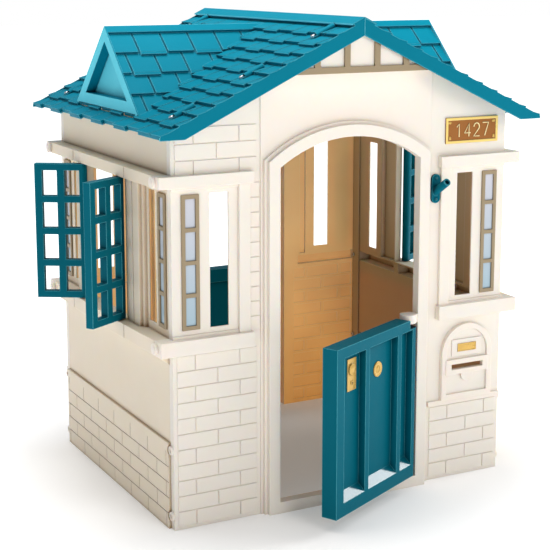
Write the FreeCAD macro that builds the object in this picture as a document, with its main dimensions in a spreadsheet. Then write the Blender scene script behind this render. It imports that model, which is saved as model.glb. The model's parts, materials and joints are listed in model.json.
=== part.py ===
"""One-room plastic playhouse: four moulded wall panels, a two-part shingled roof with dormers,
two half doors, four shutters and the small fittings. Millimetres, X to the right seen from the
front, the front faces -Y, Z up, drawn about the middle of the four walls on the ground and moved
at the end so that the origin is under the middle of the whole box at rest."""

import FreeCAD
import Part
import Sketcher
import math
import os
import re

Vector = FreeCAD.Vector
Rotation = FreeCAD.Rotation

doc = FreeCAD.newDocument("Playhouse")

# ---------------------------------------------------------------- driving sizes

SIZES = [
    # whole house
    ("roof_height", 1257, "ground to the top of the ridge cap"),
    ("roof_slope", 25.4, "degrees"),
    ("house_width", 977.2, "outside of the side walls"),
    ("house_depth", 776, "outside of the end walls"),
    ("eave_overhang", 57.4, "eave beyond the side wall"),
    ("gable_overhang", 75.5, "fascia beyond the end wall"),
    ("skin", 4, "moulded wall thickness"),
    ("joint_gap", 0.2, "gap between moulded panels that meet"),
    # roof
    ("cap_rise", 3, "ridge cap above the shingles"),
    ("cap_leg", 34, "ridge cap down each slope"),
    ("tile_rise", 9, "butt height of a shingle"),
    ("tile_width", 80, "shingle pitch along the eave"),
    ("tile_gap", 6, "gap between two shingles"),
    ("tile_step", 8, "every other shingle longer than its neighbours"),
    ("fascia_height", 42, "fascia, measured upright"),
    ("fascia_drop", 4, "fascia top below the shingle butts"),
    ("fascia_toe", 12, "fascia height left at the eave tip"),
    ("bar_length", 56, "raised bar above a roof screw"),
    ("bar_radius", 8, "raised bar above a roof screw"),
    ("roof_screw_inset", 17, "roof screws inside the end wall"),
    ("roof_screw_top", 104, "upper roof screw, down the slope from the ridge"),
    ("roof_screw_mid", 323, "middle roof screw"),
    ("roof_screw_low", 528, "lower roof screw"),
    # dormers
    ("dormer_drop", 29, "dormer ridge below the top of the roof"),
    ("dormer_slope", 44.05, "degrees"),
    ("dormer_setback", 46, "dormer face inside the eave"),
    ("dormer_frame", 28, "rim round the dormer panel"),
    ("dormer_recess", 27, "depth of the dormer panel"),
    ("dormer_rise", 7, "butt height of a dormer shingle"),
    ("dormer_tile", 78, "dormer shingle pitch"),
    ("dormer_cap", 22, "smooth strip beside the dormer ridge"),
    # bricks
    ("brick_length", 121.6, "brick and its joint"),
    ("brick_course", 39.8, "course and its joint"),
    ("brick_joint", 3.2, "joint between end wall bricks"),
    ("brick_rise", 2.4, "end wall bricks above the joint"),
    ("brick_inset", 5.5, "inside hollow smaller than its brick"),
    ("brick_foot", 8, "foot below the first course"),
    ("groove_width", 2, "joint cut in the side wall bricks"),
    ("groove_depth", 2.2, "joint cut in the side wall bricks"),
    ("band_height", 222, "brick band on the side walls"),
    ("band_rise", 7, "brick band above the side wall"),
    # end walls
    ("door_half", 205, "half the doorway"),
    ("door_arch_top", 959, "ground to the crown of the doorway"),
    ("door_arch_rise", 66, "crown above the springing"),
    ("trim_width", 38, "door surround"),
    ("trim_rise", 23, "door surround above the wall"),
    ("trim_step", 8, "outer step of the door surround"),
    ("trim_step_rise", 12, "outer step above the wall"),
    ("centre_half", 250, "half the smooth centre field"),
    ("centre_rise", 3, "centre field above the joints"),
    ("threshold_height", 30, "strip across the doorway"),
    ("flange_depth", 20, "return at the house corner"),
    ("header_low", 860, "underside of the header ledge"),
    ("header_high", 889, "top of the header ledge"),
    ("header_rise", 18, "header ledge above the wall"),
    ("sill_low", 450, "underside of the sill ledge"),
    ("sill_high", 487, "top of the sill ledge"),
    ("sill_rise", 20, "sill ledge above the wall"),
    ("ledge_side", 38, "ledges beyond the side wall"),
    ("unit_inner", 281, "window unit edge nearest the door"),
    ("stile_width", 30, "stile beside the slot window"),
    ("stile_rise", 9, "stile above the wall"),
    ("slot_low", 508, "bottom of the slot windows"),
    ("slot_high", 841, "top of the slot windows"),
    ("end_slot_inner", 337, "end wall slot, edge nearest the door"),
    ("end_slot_outer", 387, "end wall slot, other edge"),
    ("end_frame_inner", 416, "false window, edge nearest the door"),
    ("frame_width", 47, "false window frame"),
    ("frame_border", 10, "false window frame bars"),
    ("frame_thick", 5, "false window frame"),
    ("pane_thick", 1, "false window pane"),
    ("gable_drop", 136, "underside of the gable box below the top of the roof"),
    ("gable_rise", 62, "gable box in front of the wall"),
    ("truss_bar", 16, "gable beam and studs"),
    ("truss_thick", 6, "gable beam and studs"),
    ("boss_radius", 14, "rounded corner bosses"),
    ("boss_rise", 5, "rounded corner bosses"),
    ("boss_reach", 8, "bosses beyond the ends of the ledges"),
    ("boss_inset", 12, "corner bosses behind the end wall face"),
    ("roof_flange", 32, "end wall flange under the roof"),
    ("mailbox_x", 374, "middle of the mailbox"),
    ("mailbox_half", 81, "half the mailbox"),
    ("mailbox_low", 222, "foot of the mailbox"),
    ("mailbox_high", 430, "crown of the mailbox"),
    ("mailbox_rise", 12, "mailbox above the wall"),
    ("mail_slot_low", 305, "bottom of the letter slot"),
    ("mail_slot_height", 15, "letter slot"),
    ("mail_slot_half", 51, "half the letter slot"),
    # side walls
    ("window_half", 140, "half the shutter window"),
    ("post_outer", 223.5, "outer edge of the window posts"),
    ("post_rise", 17.4, "posts above the side wall"),
    ("post_groove", 185, "vertical groove in the posts"),
    ("side_slot_inner", 248, "side wall slot, inner edge"),
    ("side_slot_outer", 293, "side wall slot, outer edge"),
    ("side_frame_inner", 314, "side false window, inner edge"),
    ("bow_depth", 10, "bow of the side sill"),
    ("sill_fall", 30, "sloping underside of the side sill"),
    # doors
    ("door_axis_x", 181, "door hinge from the middle"),
    ("door_axis_out", 12, "door hinge outside the end wall"),
    ("door_reach", 376, "hinge to the free edge"),
    ("door_thick", 43, "door leaf"),
    ("door_low", 34, "underside of the door"),
    ("door_high", 467, "top of the door"),
    ("door_open", 27, "front door at rest, degrees"),
    ("door_pin", 6, "door pin radius"),
    ("pin_clearance", 0.08, "radial clearance round a pin"),
    ("lug_radius", 22, "round hinge lug"),
    ("lug_low", 455, "underside of the hinge lug"),
    ("lug_high", 478, "top of the hinge lug"),
    ("door_margin", 33, "door free edge to the first panel"),
    ("door_panel_a", 99, "first door panel"),
    ("door_panel_b", 140, "middle door panel"),
    ("door_panel_c", 58, "door panel by the hinge"),
    ("door_mullion", 18, "strip between door panels"),
    ("door_foot_rail", 35, "below the door panels"),
    ("door_top_rail", 27, "above the door panels"),
    ("door_recess", 20, "depth of the door panels"),
    ("lock_low", 341, "bottom of the lock plate"),
    ("lock_height", 82, "lock plate"),
    ("lock_width", 40, "lock plate"),
    ("lock_inset", 41, "lock plate from the side of its panel"),
    ("plate_thick", 1.5, "lock plate and name plate"),
    # shutters
    ("shutter_axis_out", 29.9, "shutter hinge outside the side wall"),
    ("shutter_axis_y", 132, "shutter hinge from the middle"),
    ("shutter_thick", 22, "shutter leaf"),
    ("shutter_meet", 3, "gap between closed shutters"),
    ("shutter_gap", 2.5, "gap above and below a shutter"),
    ("shutter_stile", 20, "shutter stiles"),
    ("shutter_rail", 18, "shutter rails and bars"),
    ("shutter_pin", 4, "shutter pin radius"),
    ("shutter_pin_length", 10, "shutter pin above the leaf"),
    ("shutter_open", 121, "shutters at rest, degrees from closed"),
    # fittings
    ("plaque_left", 295, "house number plaque"),
    ("plaque_width", 166.5, "house number plaque"),
    ("plaque_low", 920, "house number plaque"),
    ("plaque_height", 68, "house number plaque"),
    ("plaque_thick", 5, "house number plaque"),
    ("flag_x", 266, "flag holder"),
    ("flag_low", 766, "flag holder"),
    ("flag_height", 77, "flag holder"),
    ("flag_plate", 27, "flag holder back plate width"),
    ("flag_plate_thick", 6, "flag holder back plate"),
    ("flag_tube", 10, "flag tube outer radius"),
    ("flag_angle", 32, "flag tube above level, degrees"),
    ("flag_depth", 45, "depth of the flag tube bore"),
    ("flag_bore", 6.5, "flag tube bore radius"),
    ("flag_length", 66, "flag tube"),
    ("screw_radius", 2.4, "screw shank"),
    ("screw_head", 6, "screw head radius"),
    ("screw_head_thick", 3, "screw head"),
]

sheet = doc.addObject("Spreadsheet::Sheet", "Sizes")
for row, (alias, amount, note) in enumerate(SIZES, start=1):
    sheet.set(f"A{row}", alias)
    sheet.set(f"B{row}", str(amount))
    sheet.setAlias(f"B{row}", alias)
    sheet.set(f"C{row}", note)
doc.recompute()

ALIASES = {alias for alias, amount, note in SIZES}


def expression(text):
    """Point every size name in an expression at its cell in the sheet."""
    return re.sub(r"[a-z_]+", lambda m: f"Sizes.{m[0]}" if m[0] in ALIASES else m[0], str(text))


def tie(item, prop, text):
    item.setExpression(prop, expression(text))


def value(text):
    """Present value of an expression, for deciding how many pieces fit."""
    return float(sheet.evalExpression(expression(text)))


# ---------------------------------------------------------------- building blocks

def place(item, corner, prefix="Placement.Base"):
    for letter, text in zip("xyz", corner):
        tie(item, f"{prefix}.{letter}", text)


def block(name, low, high):
    """Box between two corners, each given as three expressions."""
    item = doc.addObject("Part::Box", name)
    for prop, first, last in zip(("Length", "Width", "Height"), low, high):
        tie(item, prop, f"({last}) - ({first})")
    place(item, low)
    return item


TURN = {
    "X": Rotation(Vector(0, 1, 0), 90),
    "Y": Rotation(Vector(1, 0, 0), -90),
    "Z": Rotation(),
}


def rod(name, along, start, radius, length):
    """Cylinder whose base centre is at start and which runs along an axis."""
    item = doc.addObject("Part::Cylinder", name)
    item.Placement.Rotation = TURN[along]
    tie(item, "Radius", radius)
    tie(item, "Height", length)
    place(item, start)
    return item


PLANES = {
    "XZ": (Rotation(Vector(1, 0, 0), 90), Vector(0, 1, 0), "y"),
    "YZ": (Rotation(Vector(1, 1, 1), 120), Vector(1, 0, 0), "x"),
}


def prism(name, plane, points, start, end):
    """Straight-sided outline drawn in a sketch and pulled from start to end across its plane."""
    turn, direction, letter = PLANES[plane]
    sketch = doc.addObject("Sketcher::SketchObject", f"{name}_outline")
    sketch.Placement.Rotation = turn
    count = len(points)
    rough = []
    for index in range(count):
        angle = 2 * math.pi * index / count
        rough.append(Vector(400 * math.cos(angle), 400 * math.sin(angle), 0))
    for index in range(count):
        sketch.addGeometry(Part.LineSegment(rough[index], rough[(index + 1) % count]), False)
    for index in range(count):
        sketch.addConstraint(Sketcher.Constraint("Coincident", index, 2, (index + 1) % count, 1))
    for index, point in enumerate(points):
        for kind, text in zip(("DistanceX", "DistanceY"), point):
            number = sketch.addConstraint(Sketcher.Constraint(kind, -1, 1, index, 1, 1.0))
            label = f"{kind}_{index}"
            sketch.renameConstraint(number, label)
            tie(sketch, f"Constraints.{label}", text)
    tie(sketch, f"Placement.Base.{letter}", start)
    item = doc.addObject("Part::Extrusion", name)
    item.Base = sketch
    item.DirMode = "Custom"
    item.Dir = direction
    item.Solid = True
    tie(item, "LengthFwd", f"({end}) - ({start})")
    return item


def fuse(name, items):
    item = doc.addObject("Part::MultiFuse", name)
    item.Shapes = items
    return item


def bundle(name, items):
    """Separate solids kept together as one group."""
    item = doc.addObject("Part::Compound", name)
    item.Links = items
    return item


def cut(name, base, tools):
    item = doc.addObject("Part::Cut", name)
    item.Base = base
    item.Tool = tools[0] if len(tools) == 1 else bundle(f"{name}_tools", tools)
    return item


def turned_half_round(name, base):
    """The same piece turned half a turn about the middle of the house."""
    item = bundle(name, [base])
    item.Placement = FreeCAD.Placement(Vector(0, 0, 0), Rotation(Vector(0, 0, 1), 180))
    return item


nodes = {}


def keep(name, item):
    item.Label = name
    nodes[name] = item
    return item


# ---------------------------------------------------------------- shared levels

HALF_WIDTH = "(house_width / 2)"
HALF_DEPTH = "(house_depth / 2)"
HALF_ROOF = "(house_width / 2 + eave_overhang)"
ROOF_FRONT = "(house_depth / 2 + gable_overhang)"
PITCH = "(roof_slope * 1deg)"
TILE_TOP = "(roof_height - cap_rise)"
DECK_UNDER = "(tile_rise + skin)"
WALL_TOP = f"({DECK_UNDER} + joint_gap)"


def slope_height(x, below="0"):
    """Height of the roof slope at x, lowered by a thickness measured square to the slope."""
    return f"({TILE_TOP} - tan({PITCH}) * ({x}) - ({below}) / cos({PITCH}))"


def in_out(side, inner, outer):
    """Range from inner to outer distance on the left (-1) or the right (+1)."""
    if side > 0:
        return f"({inner})", f"({outer})"
    return f"-({outer})", f"-({inner})"


def front_box(name, x_range, out, z_range, inner="0"):
    """Box on the front wall from a depth behind its face to a distance in front of it."""
    return block(name, [x_range[0], f"-({HALF_DEPTH} + ({out}))", z_range[0]],
                 [x_range[1], f"-({HALF_DEPTH} + ({inner}))", z_range[1]])


def side_box(name, y_range, out, z_range, inner="0"):
    """Box on the left wall from a depth behind its face to a distance outside it."""
    return block(name, [f"-({HALF_WIDTH} + ({out}))", y_range[0], z_range[0]],
                 [f"-({HALF_WIDTH} + ({inner}))", y_range[1], z_range[1]])


# behind the inner face of a wall, so that a hollow opens into the room
ROOM_SIDE = "-skin - 1"

# ---------------------------------------------------------------- end wall

ARCH_RADIUS = "((door_half ^ 2 + door_arch_rise ^ 2) / (2 * door_arch_rise))"
ARCH_CENTRE = f"(door_arch_top - {ARCH_RADIUS})"
CORNER_LEVELS = ("(header_low + header_high) / 2", "(sill_low + sill_high) / 2", "205", "35")
LEDGES = (("header", "header_low", "header_high", "header_rise"),
          ("sill", "sill_low", "sill_high", "sill_rise"))
SIDES = ((-1, "left"), (1, "right"))


def arched(name, grow, out, inner, foot="-1"):
    """Arch-topped upright block, larger than the doorway all round by grow."""
    half = f"(door_half + {grow})"
    radius = f"({ARCH_RADIUS} + {grow})"
    post = front_box(f"{name}_post", (f"-{half}", half), out,
                     (foot, f"door_arch_top + {grow} + 1"), inner)
    disc = rod(f"{name}_disc", "Y", ("0", f"-({HALF_DEPTH} + ({out}))", ARCH_CENTRE),
               radius, f"({out}) - ({inner})")
    head = doc.addObject("Part::MultiCommon", f"{name}_head")
    head.Shapes = [post, disc]
    legs = front_box(f"{name}_legs", (f"-{half}", half), out,
                     (foot, f"{ARCH_CENTRE} + 0.7 * sqrt({radius} ^ 2 - {half} ^ 2)"), inner)
    return fuse(name, [head, legs])


def wall_sheet(name, out, inner, half):
    """Upright sheet up to the underside of the roof."""
    shoulder = slope_height(half, WALL_TOP)
    points = [(f"-({half})", "0"), (half, "0"), (half, shoulder),
              ("0", slope_height("0", WALL_TOP)), (f"-({half})", shoulder)]
    return prism(name, "XZ", points, f"-({HALF_DEPTH} + ({out}))", f"-({HALF_DEPTH} + ({inner}))")


def gable_prism(name, drop, base, out, inner):
    top = f"({slope_height('0', WALL_TOP)} - ({drop}))"
    half = f"(({top} - ({base})) / tan({PITCH}))"
    points = [(f"-{half}", base), (half, base), ("0", top)]
    return prism(name, "XZ", points, f"-({HALF_DEPTH} + ({out}))", f"-({HALF_DEPTH} + ({inner}))")


def brick_edges(inner, outer, first):
    """Joint lines of one course from its inner to its outer end, with no sliver at the end."""
    edges = [inner]
    number = 0
    while value(f"{inner} + {first} + {number} * brick_length") < value(outer) - 20:
        edges.append(f"({inner} + {first} + {number} * brick_length)")
        number += 1
    return edges + [outer]


def brick_zone(name, side, courses, inner, outer, first):
    """Raised bricks of an end wall zone, each with a shallow hollow behind it."""
    for course in courses:
        shift = first if course % 2 == 0 else f"({first} + brick_length / 2)"
        edges = brick_edges(inner, outer, shift)
        low = f"brick_foot + {course} * brick_course + brick_joint / 2"
        high = f"brick_foot + {course + 1} * brick_course - brick_joint / 2"
        for number, (start, end) in enumerate(zip(edges, edges[1:])):
            label = f"{name}_{course}_{number}"
            raised.append(front_box(
                label, in_out(side, f"{start} + brick_joint / 2", f"{end} - brick_joint / 2"),
                "brick_rise", (low, high)))
            hollows.append(front_box(
                f"{label}_back", in_out(side, f"{start} + brick_inset", f"{end} - brick_inset"),
                "brick_rise - skin", (f"{low} + brick_inset - 3", f"{high} - brick_inset + 3"),
                ROOM_SIDE))


raised = []
hollows = []
holes = []

raised.append(wall_sheet("end_sheet", "0", "-skin", HALF_WIDTH))
raised.append(wall_sheet("end_centre", "centre_rise", "0", "centre_half"))

# door surround in two steps with a lined doorway, open to the room behind
raised.append(arched("surround", "(trim_width - trim_step)", "trim_rise", "-skin", "0"))
raised.append(arched("surround_step", "trim_width", "trim_step_rise", "-skin", "0"))
surround_back = cut("surround_back",
                    arched("surround_room", "(trim_width - trim_step - skin)",
                           "trim_rise - skin", ROOM_SIDE),
                    [arched("surround_lining", "skin", "trim_rise", "-skin - 2")])
hollows.append(surround_back)

# gable box under the front of the roof
GABLE_BASE = "(roof_height - gable_drop)"
raised.append(gable_prism("gable_box", "0", GABLE_BASE, "gable_rise", "0"))
hollows.append(gable_prism("gable_back", "1.2 * skin", f"{GABLE_BASE} + skin",
                           "gable_rise - skin", ROOM_SIDE))

# flange that takes the roof screws
FLANGE_HALF = f"({HALF_WIDTH} - 3 * skin)"
FLANGE_LOW = f"({WALL_TOP} + skin)"
raised.append(prism("roof_flange_plate", "XZ", [
    (f"-{FLANGE_HALF}", slope_height(FLANGE_HALF, FLANGE_LOW)),
    ("0", slope_height("0", FLANGE_LOW)),
    (FLANGE_HALF, slope_height(FLANGE_HALF, FLANGE_LOW)),
    (FLANGE_HALF, slope_height(FLANGE_HALF, WALL_TOP)),
    ("0", slope_height("0", WALL_TOP)),
    (f"-{FLANGE_HALF}", slope_height(FLANGE_HALF, WALL_TOP)),
], f"-({HALF_DEPTH} - skin / 2)", f"-({HALF_DEPTH} - skin - roof_flange)"))

BOSS_Y = f"-({HALF_DEPTH} - boss_inset)"
for side, tag in SIDES:
    wrap = in_out(side, f"{HALF_WIDTH} - skin", f"{HALF_WIDTH} + ledge_side")
    corner = in_out(side, f"{HALF_WIDTH} - skin", HALF_WIDTH)
    for ledge, low, high, rise in LEDGES:
        raised.append(front_box(f"{ledge}_{tag}",
                                in_out(side, "unit_inner - 6", f"{HALF_WIDTH} + ledge_side"),
                                rise, (low, high), "-skin"))
        raised.append(block(f"{ledge}_return_{tag}", [wrap[0], f"-{HALF_DEPTH}", low],
                            [wrap[1], f"-({HALF_DEPTH} - flange_depth)", high]))
        hollows.append(front_box(f"{ledge}_back_{tag}",
                                 in_out(side, "unit_inner - 6 + skin", f"{HALF_WIDTH} - skin"),
                                 f"{rise} - skin", (f"{low} + skin", f"{high} - skin"), ROOM_SIDE))
    # window unit: stile, inner border and slot window
    stile_outer = "unit_inner + stile_width"
    raised.append(front_box(f"stile_{tag}", in_out(side, "unit_inner", stile_outer),
                            "stile_rise", ("sill_high - 1", "header_low + 1")))
    for name, low, high in (("unit_head", "header_low - 8", "header_low + 1"),
                            ("unit_foot", "sill_high - 1", "sill_high + 8")):
        raised.append(front_box(f"{name}_{tag}", in_out(side, stile_outer, HALF_WIDTH),
                                "stile_rise / 2", (low, high)))
    hollows.append(front_box(f"stile_back_{tag}",
                             in_out(side, "unit_inner + skin", f"{stile_outer} - skin"),
                             "stile_rise - skin", ("sill_high + 1", "header_low - 1"), ROOM_SIDE))
    holes.append(front_box(f"end_slot_{tag}", in_out(side, "end_slot_inner", "end_slot_outer"),
                           "20", ("slot_low", "slot_high"), "-20"))
    # corner return with its rounded bosses
    raised.append(block(f"flange_{tag}", [corner[0], f"-{HALF_DEPTH}", "0"],
                        [corner[1], f"-({HALF_DEPTH} - flange_depth)",
                         slope_height(HALF_WIDTH, WALL_TOP)]))
    for number, level in enumerate(CORNER_LEVELS):
        on_ledge = number < 2
        outer = f"{HALF_WIDTH} + ledge_side + boss_reach" if on_ledge else f"{HALF_WIDTH} + boss_rise"
        radius = "boss_radius" if on_ledge else "boss_radius * 0.8"
        reach = in_out(side, f"{HALF_WIDTH} - skin / 2", outer)
        raised.append(rod(f"boss_{tag}_{number}", "X", (reach[0], BOSS_Y, level), radius,
                          f"({reach[1]}) - ({reach[0]})"))
        if on_ledge:
            button = in_out(side, f"({outer}) - 1", f"({outer}) + 1.5")
            raised.append(rod(f"button_{tag}_{number}", "X", (button[0], BOSS_Y, level),
                              "boss_radius * 0.6", "2.5"))
        else:
            dimple = in_out(side, f"({outer}) - 3", f"({outer}) + 5")
            holes.append(rod(f"dimple_{tag}_{number}", "X", (dimple[0], BOSS_Y, level),
                             "boss_radius * 0.4", "8"))

# bricks: full height on the left, five courses and a cap on the right
ZONE_INNER = "(centre_half + 10)"
ZONE_OUTER = f"({HALF_WIDTH} - 9)"
brick_zone("brick_left", -1, range(0, 11), ZONE_INNER, ZONE_OUTER, "(brick_length * 0.4)")
brick_zone("brick_over", -1, range(22, 25), ZONE_INNER, ZONE_OUTER, "(brick_length * 0.4)")
brick_zone("brick_right", 1, range(0, 5), ZONE_INNER, ZONE_OUTER, "(brick_length * 0.48)")
for course in range(11, 21):
    raised.append(front_box(
        f"brick_strip_{course}", in_out(-1, "centre_half + 3", "unit_inner + 1"), "brick_rise",
        (f"sill_high + {course - 11} * (header_low - sill_high) / 10 + brick_joint / 2",
         f"sill_high + {course - 10} * (header_low - sill_high) / 10 - brick_joint / 2")))
CAP_LOW = "brick_foot + 5 * brick_course + brick_joint / 2"
raised.append(front_box("brick_cap", in_out(1, "centre_half + 4", HALF_WIDTH), "band_rise",
                        (CAP_LOW, "mailbox_low + 0.5")))

# mailbox moulded in the right-hand field
MAIL_CENTRE = "(mailbox_high - mailbox_half)"


def mail_arch(name, shrink, out, inner):
    body = front_box(f"{name}_body",
                     (f"mailbox_x - mailbox_half + {shrink}", f"mailbox_x + mailbox_half - {shrink}"),
                     out, (f"mailbox_low + {shrink}", MAIL_CENTRE), inner)
    crown = rod(f"{name}_crown", "Y", ("mailbox_x", f"-({HALF_DEPTH} + ({out}))", MAIL_CENTRE),
                f"mailbox_half - {shrink}", f"({out}) - ({inner})")
    return fuse(name, [body, crown])


raised.append(cut("mail_face", mail_arch("mail_body", "0", "mailbox_rise", "-1"),
                  [mail_arch("mail_pocket", "15", "mailbox_rise + 1", "mailbox_rise - 6")]))
raised.append(front_box("mail_flap", ("mailbox_x - 48", "mailbox_x + 48"), "mailbox_rise - 3",
                        ("mail_slot_low + 36", "mail_slot_low + 82")))
MAIL_LIP = ("mail_slot_low - 13", "mail_slot_low + 28")
raised.append(front_box("mail_lip",
                        ("mailbox_x - mailbox_half + 12", "mailbox_x + mailbox_half - 12"),
                        "mailbox_rise + 2", MAIL_LIP))
raised.append(rod("mail_tab", "Y",
                  ("mailbox_x", f"-({HALF_DEPTH} + mailbox_rise + 1.5)", "mail_slot_low - 16"),
                  "19", "6"))
hollows.append(mail_arch("mail_back", "2 * skin", "mailbox_rise - 6 - skin", ROOM_SIDE))
holes.append(front_box("mail_slot", ("mailbox_x - mail_slot_half", "mailbox_x + mail_slot_half"),
                       "30", ("mail_slot_low", "mail_slot_low + mail_slot_height"), "-30"))

# doorway, threshold and hinge lugs
END_AXIS_Y = f"-({HALF_DEPTH} + door_axis_out)"
doorway = arched("doorway", "0", "trim_rise + 20", "-skin - 20")
threshold = front_box("threshold", ("-(door_half + 1)", "door_half + 1"), "trim_rise",
                      ("0", "threshold_height"), "-skin")
lug = rod("lug", "Z", ("door_axis_x", END_AXIS_Y, "lug_low"), "lug_radius", "lug_high - lug_low")
lug_neck = block("lug_neck", ["door_axis_x", f"{END_AXIS_Y} - 10", "lug_low"],
                 ["door_half + 1", f"{END_AXIS_Y} + 10", "lug_high"])
pin_holes = [
    rod("lug_hole", "Z", ("door_axis_x", END_AXIS_Y, "lug_low - 5"),
        "door_pin + pin_clearance", "lug_high - lug_low"),
    rod("threshold_hole", "Z", ("door_axis_x", END_AXIS_Y, "threshold_height - 20"),
        "door_pin + pin_clearance", "25"),
]
end_solid = fuse("end_solid", raised)
end_open = cut("end_open", end_solid, [fuse("end_openings", hollows + holes + [doorway])])
end_hinged = fuse("end_hinged", [end_open, threshold, lug, lug_neck])
end_panel = cut("end_panel", end_hinged, pin_holes)
keep("front_panel", end_panel)
keep("back_panel", turned_half_round("rear_end", end_panel))

# ---------------------------------------------------------------- side wall

SIDE_HALF = f"({HALF_DEPTH} - flange_depth - joint_gap)"
SIDE_TOP = slope_height(HALF_WIDTH, WALL_TOP)
LAP_FACE = f"({HALF_WIDTH} - skin - joint_gap)"
SIDE_SPAN = (f"-{SIDE_HALF}", SIDE_HALF)
SHUTTER_X = f"-({HALF_WIDTH} + shutter_axis_out)"

raised = [side_box("side_sheet", SIDE_SPAN, "0", ("0", SIDE_TOP), "-skin")]
hollows = []
holes = []
raised.append(side_box("side_band", SIDE_SPAN, "band_rise", ("0", "band_height")))
hollows.append(side_box("side_band_back", (f"-({SIDE_HALF} - 20)", f"{SIDE_HALF} - 20"),
                        "band_rise - skin", ("skin", "band_height - skin"), ROOM_SIDE))
for ledge, low, high, rise in LEDGES:
    raised.append(side_box(f"side_{ledge}", SIDE_SPAN, "ledge_side", (low, high), "-skin"))
    for number, (start, end) in enumerate(((f"-({SIDE_HALF} - 20)", "-(shutter_axis_y + 12)"),
                                           ("-(shutter_axis_y - 12)", "shutter_axis_y - 12"),
                                           ("shutter_axis_y + 12", f"{SIDE_HALF} - 20"))):
        hollows.append(side_box(f"side_{ledge}_back_{number}", (start, end), "ledge_side - skin",
                                (f"{low} + skin", f"{high} - skin"), ROOM_SIDE))
for side, tag in ((-1, "front"), (1, "rear")):
    # lap behind the end wall's return, which takes the corner screws
    near, far = in_out(side, f"{SIDE_HALF} - 20", f"{HALF_DEPTH} - skin - joint_gap")
    raised.append(block(f"side_lap_{tag}", [f"-{LAP_FACE}", near, "0"],
                        [f"-({LAP_FACE} - skin)", far, f"{SIDE_TOP} - 3 * skin"]))
    near, far = in_out(side, f"{SIDE_HALF} - 20", SIDE_HALF)
    raised.append(block(f"side_lap_root_{tag}", [f"-({HALF_WIDTH} - skin / 2)", near, "0"],
                        [f"-({LAP_FACE} - skin)", far, f"{SIDE_TOP} - 3 * skin"]))
    raised.append(side_box(f"post_{tag}", in_out(side, "window_half", "post_outer"), "post_rise",
                           ("sill_high - 1", "header_low + 1")))
    raised.append(side_box(f"post_stop_{tag}", in_out(side, "post_outer - 1", "post_outer + 12"),
                           "post_rise / 2", ("sill_high - 1", "header_low + 1")))
    hollows.append(side_box(f"post_back_{tag}",
                            in_out(side, "window_half + skin", "post_outer - skin"),
                            "post_rise - 2 * skin", ("sill_high + 1", "header_low - 1"), ROOM_SIDE))
    holes.append(side_box(f"side_slot_{tag}", in_out(side, "side_slot_inner", "side_slot_outer"),
                          "20", ("slot_low", "slot_high"), "-20"))
    for number, level in enumerate(CORNER_LEVELS):
        holes.append(rod(f"boss_clear_{tag}_{number}", "X",
                         (f"-({HALF_WIDTH} + ledge_side + bow_depth)",
                          f"{side} * ({HALF_DEPTH} - boss_inset)", level),
                         "boss_radius + joint_gap",
                         "ledge_side + bow_depth + skin / 2 + joint_gap"))
    for ledge, low, high, floor in (("header", "header_low", "header_high", "-2.5"),
                                    ("sill", "sill_low", "sill_high", "4")):
        holes.append(side_box(f"{ledge}_line_{tag}",
                              in_out(side, "post_groove - 1.5", "post_groove + 1.5"),
                              "ledge_side + bow_depth + 1", (f"{low} - 1", f"{high} + 1"),
                              f"ledge_side + {floor}"))
    holes.append(side_box(f"post_line_{tag}", in_out(side, "post_groove - 1.5", "post_groove + 1.5"),
                          "post_rise + 1", ("sill_high + 0.5", "header_low - 0.5"),
                          "post_rise - 2.5"))
    y = f"{side} * shutter_axis_y"
    holes.append(rod(f"shutter_hole_top_{tag}", "Z", (SHUTTER_X, y, "header_low - 1"),
                     "shutter_pin + pin_clearance", "shutter_pin_length + 1"))
    holes.append(rod(f"shutter_hole_foot_{tag}", "Z",
                     (SHUTTER_X, y, "sill_high - shutter_pin_length"),
                     "shutter_pin + pin_clearance", "shutter_pin_length + 1"))
BOW_RADIUS = f"(({SIDE_HALF} ^ 2 + bow_depth ^ 2) / (2 * bow_depth))"
bow_disc = rod("bow_disc", "Z",
               (f"-({HALF_WIDTH} + ledge_side + bow_depth) + {BOW_RADIUS}", "0", "sill_low"),
               BOW_RADIUS, "sill_high - sill_low")
bow_box = block("bow_box", [f"-({HALF_WIDTH} + ledge_side + bow_depth + 1)", f"-{SIDE_HALF}",
                            "sill_low"],
                [f"-({HALF_WIDTH} + ledge_side - 1)", SIDE_HALF, "sill_high"])
bow = doc.addObject("Part::MultiCommon", "bow")
bow.Shapes = [bow_disc, bow_box]
raised.append(bow)
raised.append(prism("sill_underside", "XZ", [
    (f"-({HALF_WIDTH} + ledge_side)", "sill_low + 1"), (f"-({HALF_WIDTH} - 1)", "sill_low - sill_fall"),
    (f"-({HALF_WIDTH} - 1)", "sill_low + 1"),
], f"-{SIDE_HALF}", SIDE_HALF))
holes.append(side_box("side_window", ("-window_half", "window_half"), "ledge_side - skin",
                      ("sill_high", "header_low"), "-20"))

# mortar lines of the brick band
BAND_COURSE = "((band_height + 4) / 5.6)"
SIDE_BRICK = "(brick_length * 0.97)"
for course in range(1, 6):
    level = f"{course} * {BAND_COURSE} - groove_width / 2"
    if course < 5:
        holes.append(side_box(f"side_course_{course}", SIDE_SPAN, "band_rise + 1",
                              (level, f"{level} + groove_width"), "band_rise - groove_depth"))
for course in range(0, 5):
    low = f"{course} * {BAND_COURSE} + groove_width / 2 - 1.5"
    high = f"{course + 1} * {BAND_COURSE} - groove_width / 2"
    number = -8
    while number < 9:
        centre = f"({number + 0.5 * (course % 2)} * {SIDE_BRICK})"
        if abs(value(centre)) < value(SIDE_HALF) - 12:
            holes.append(side_box(
                f"side_joint_{course}_{number + 8}",
                (f"{centre} - groove_width / 2", f"{centre} + groove_width / 2"),
                "band_rise + 1", (low, high), "band_rise - groove_depth"))
        number += 1

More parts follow.
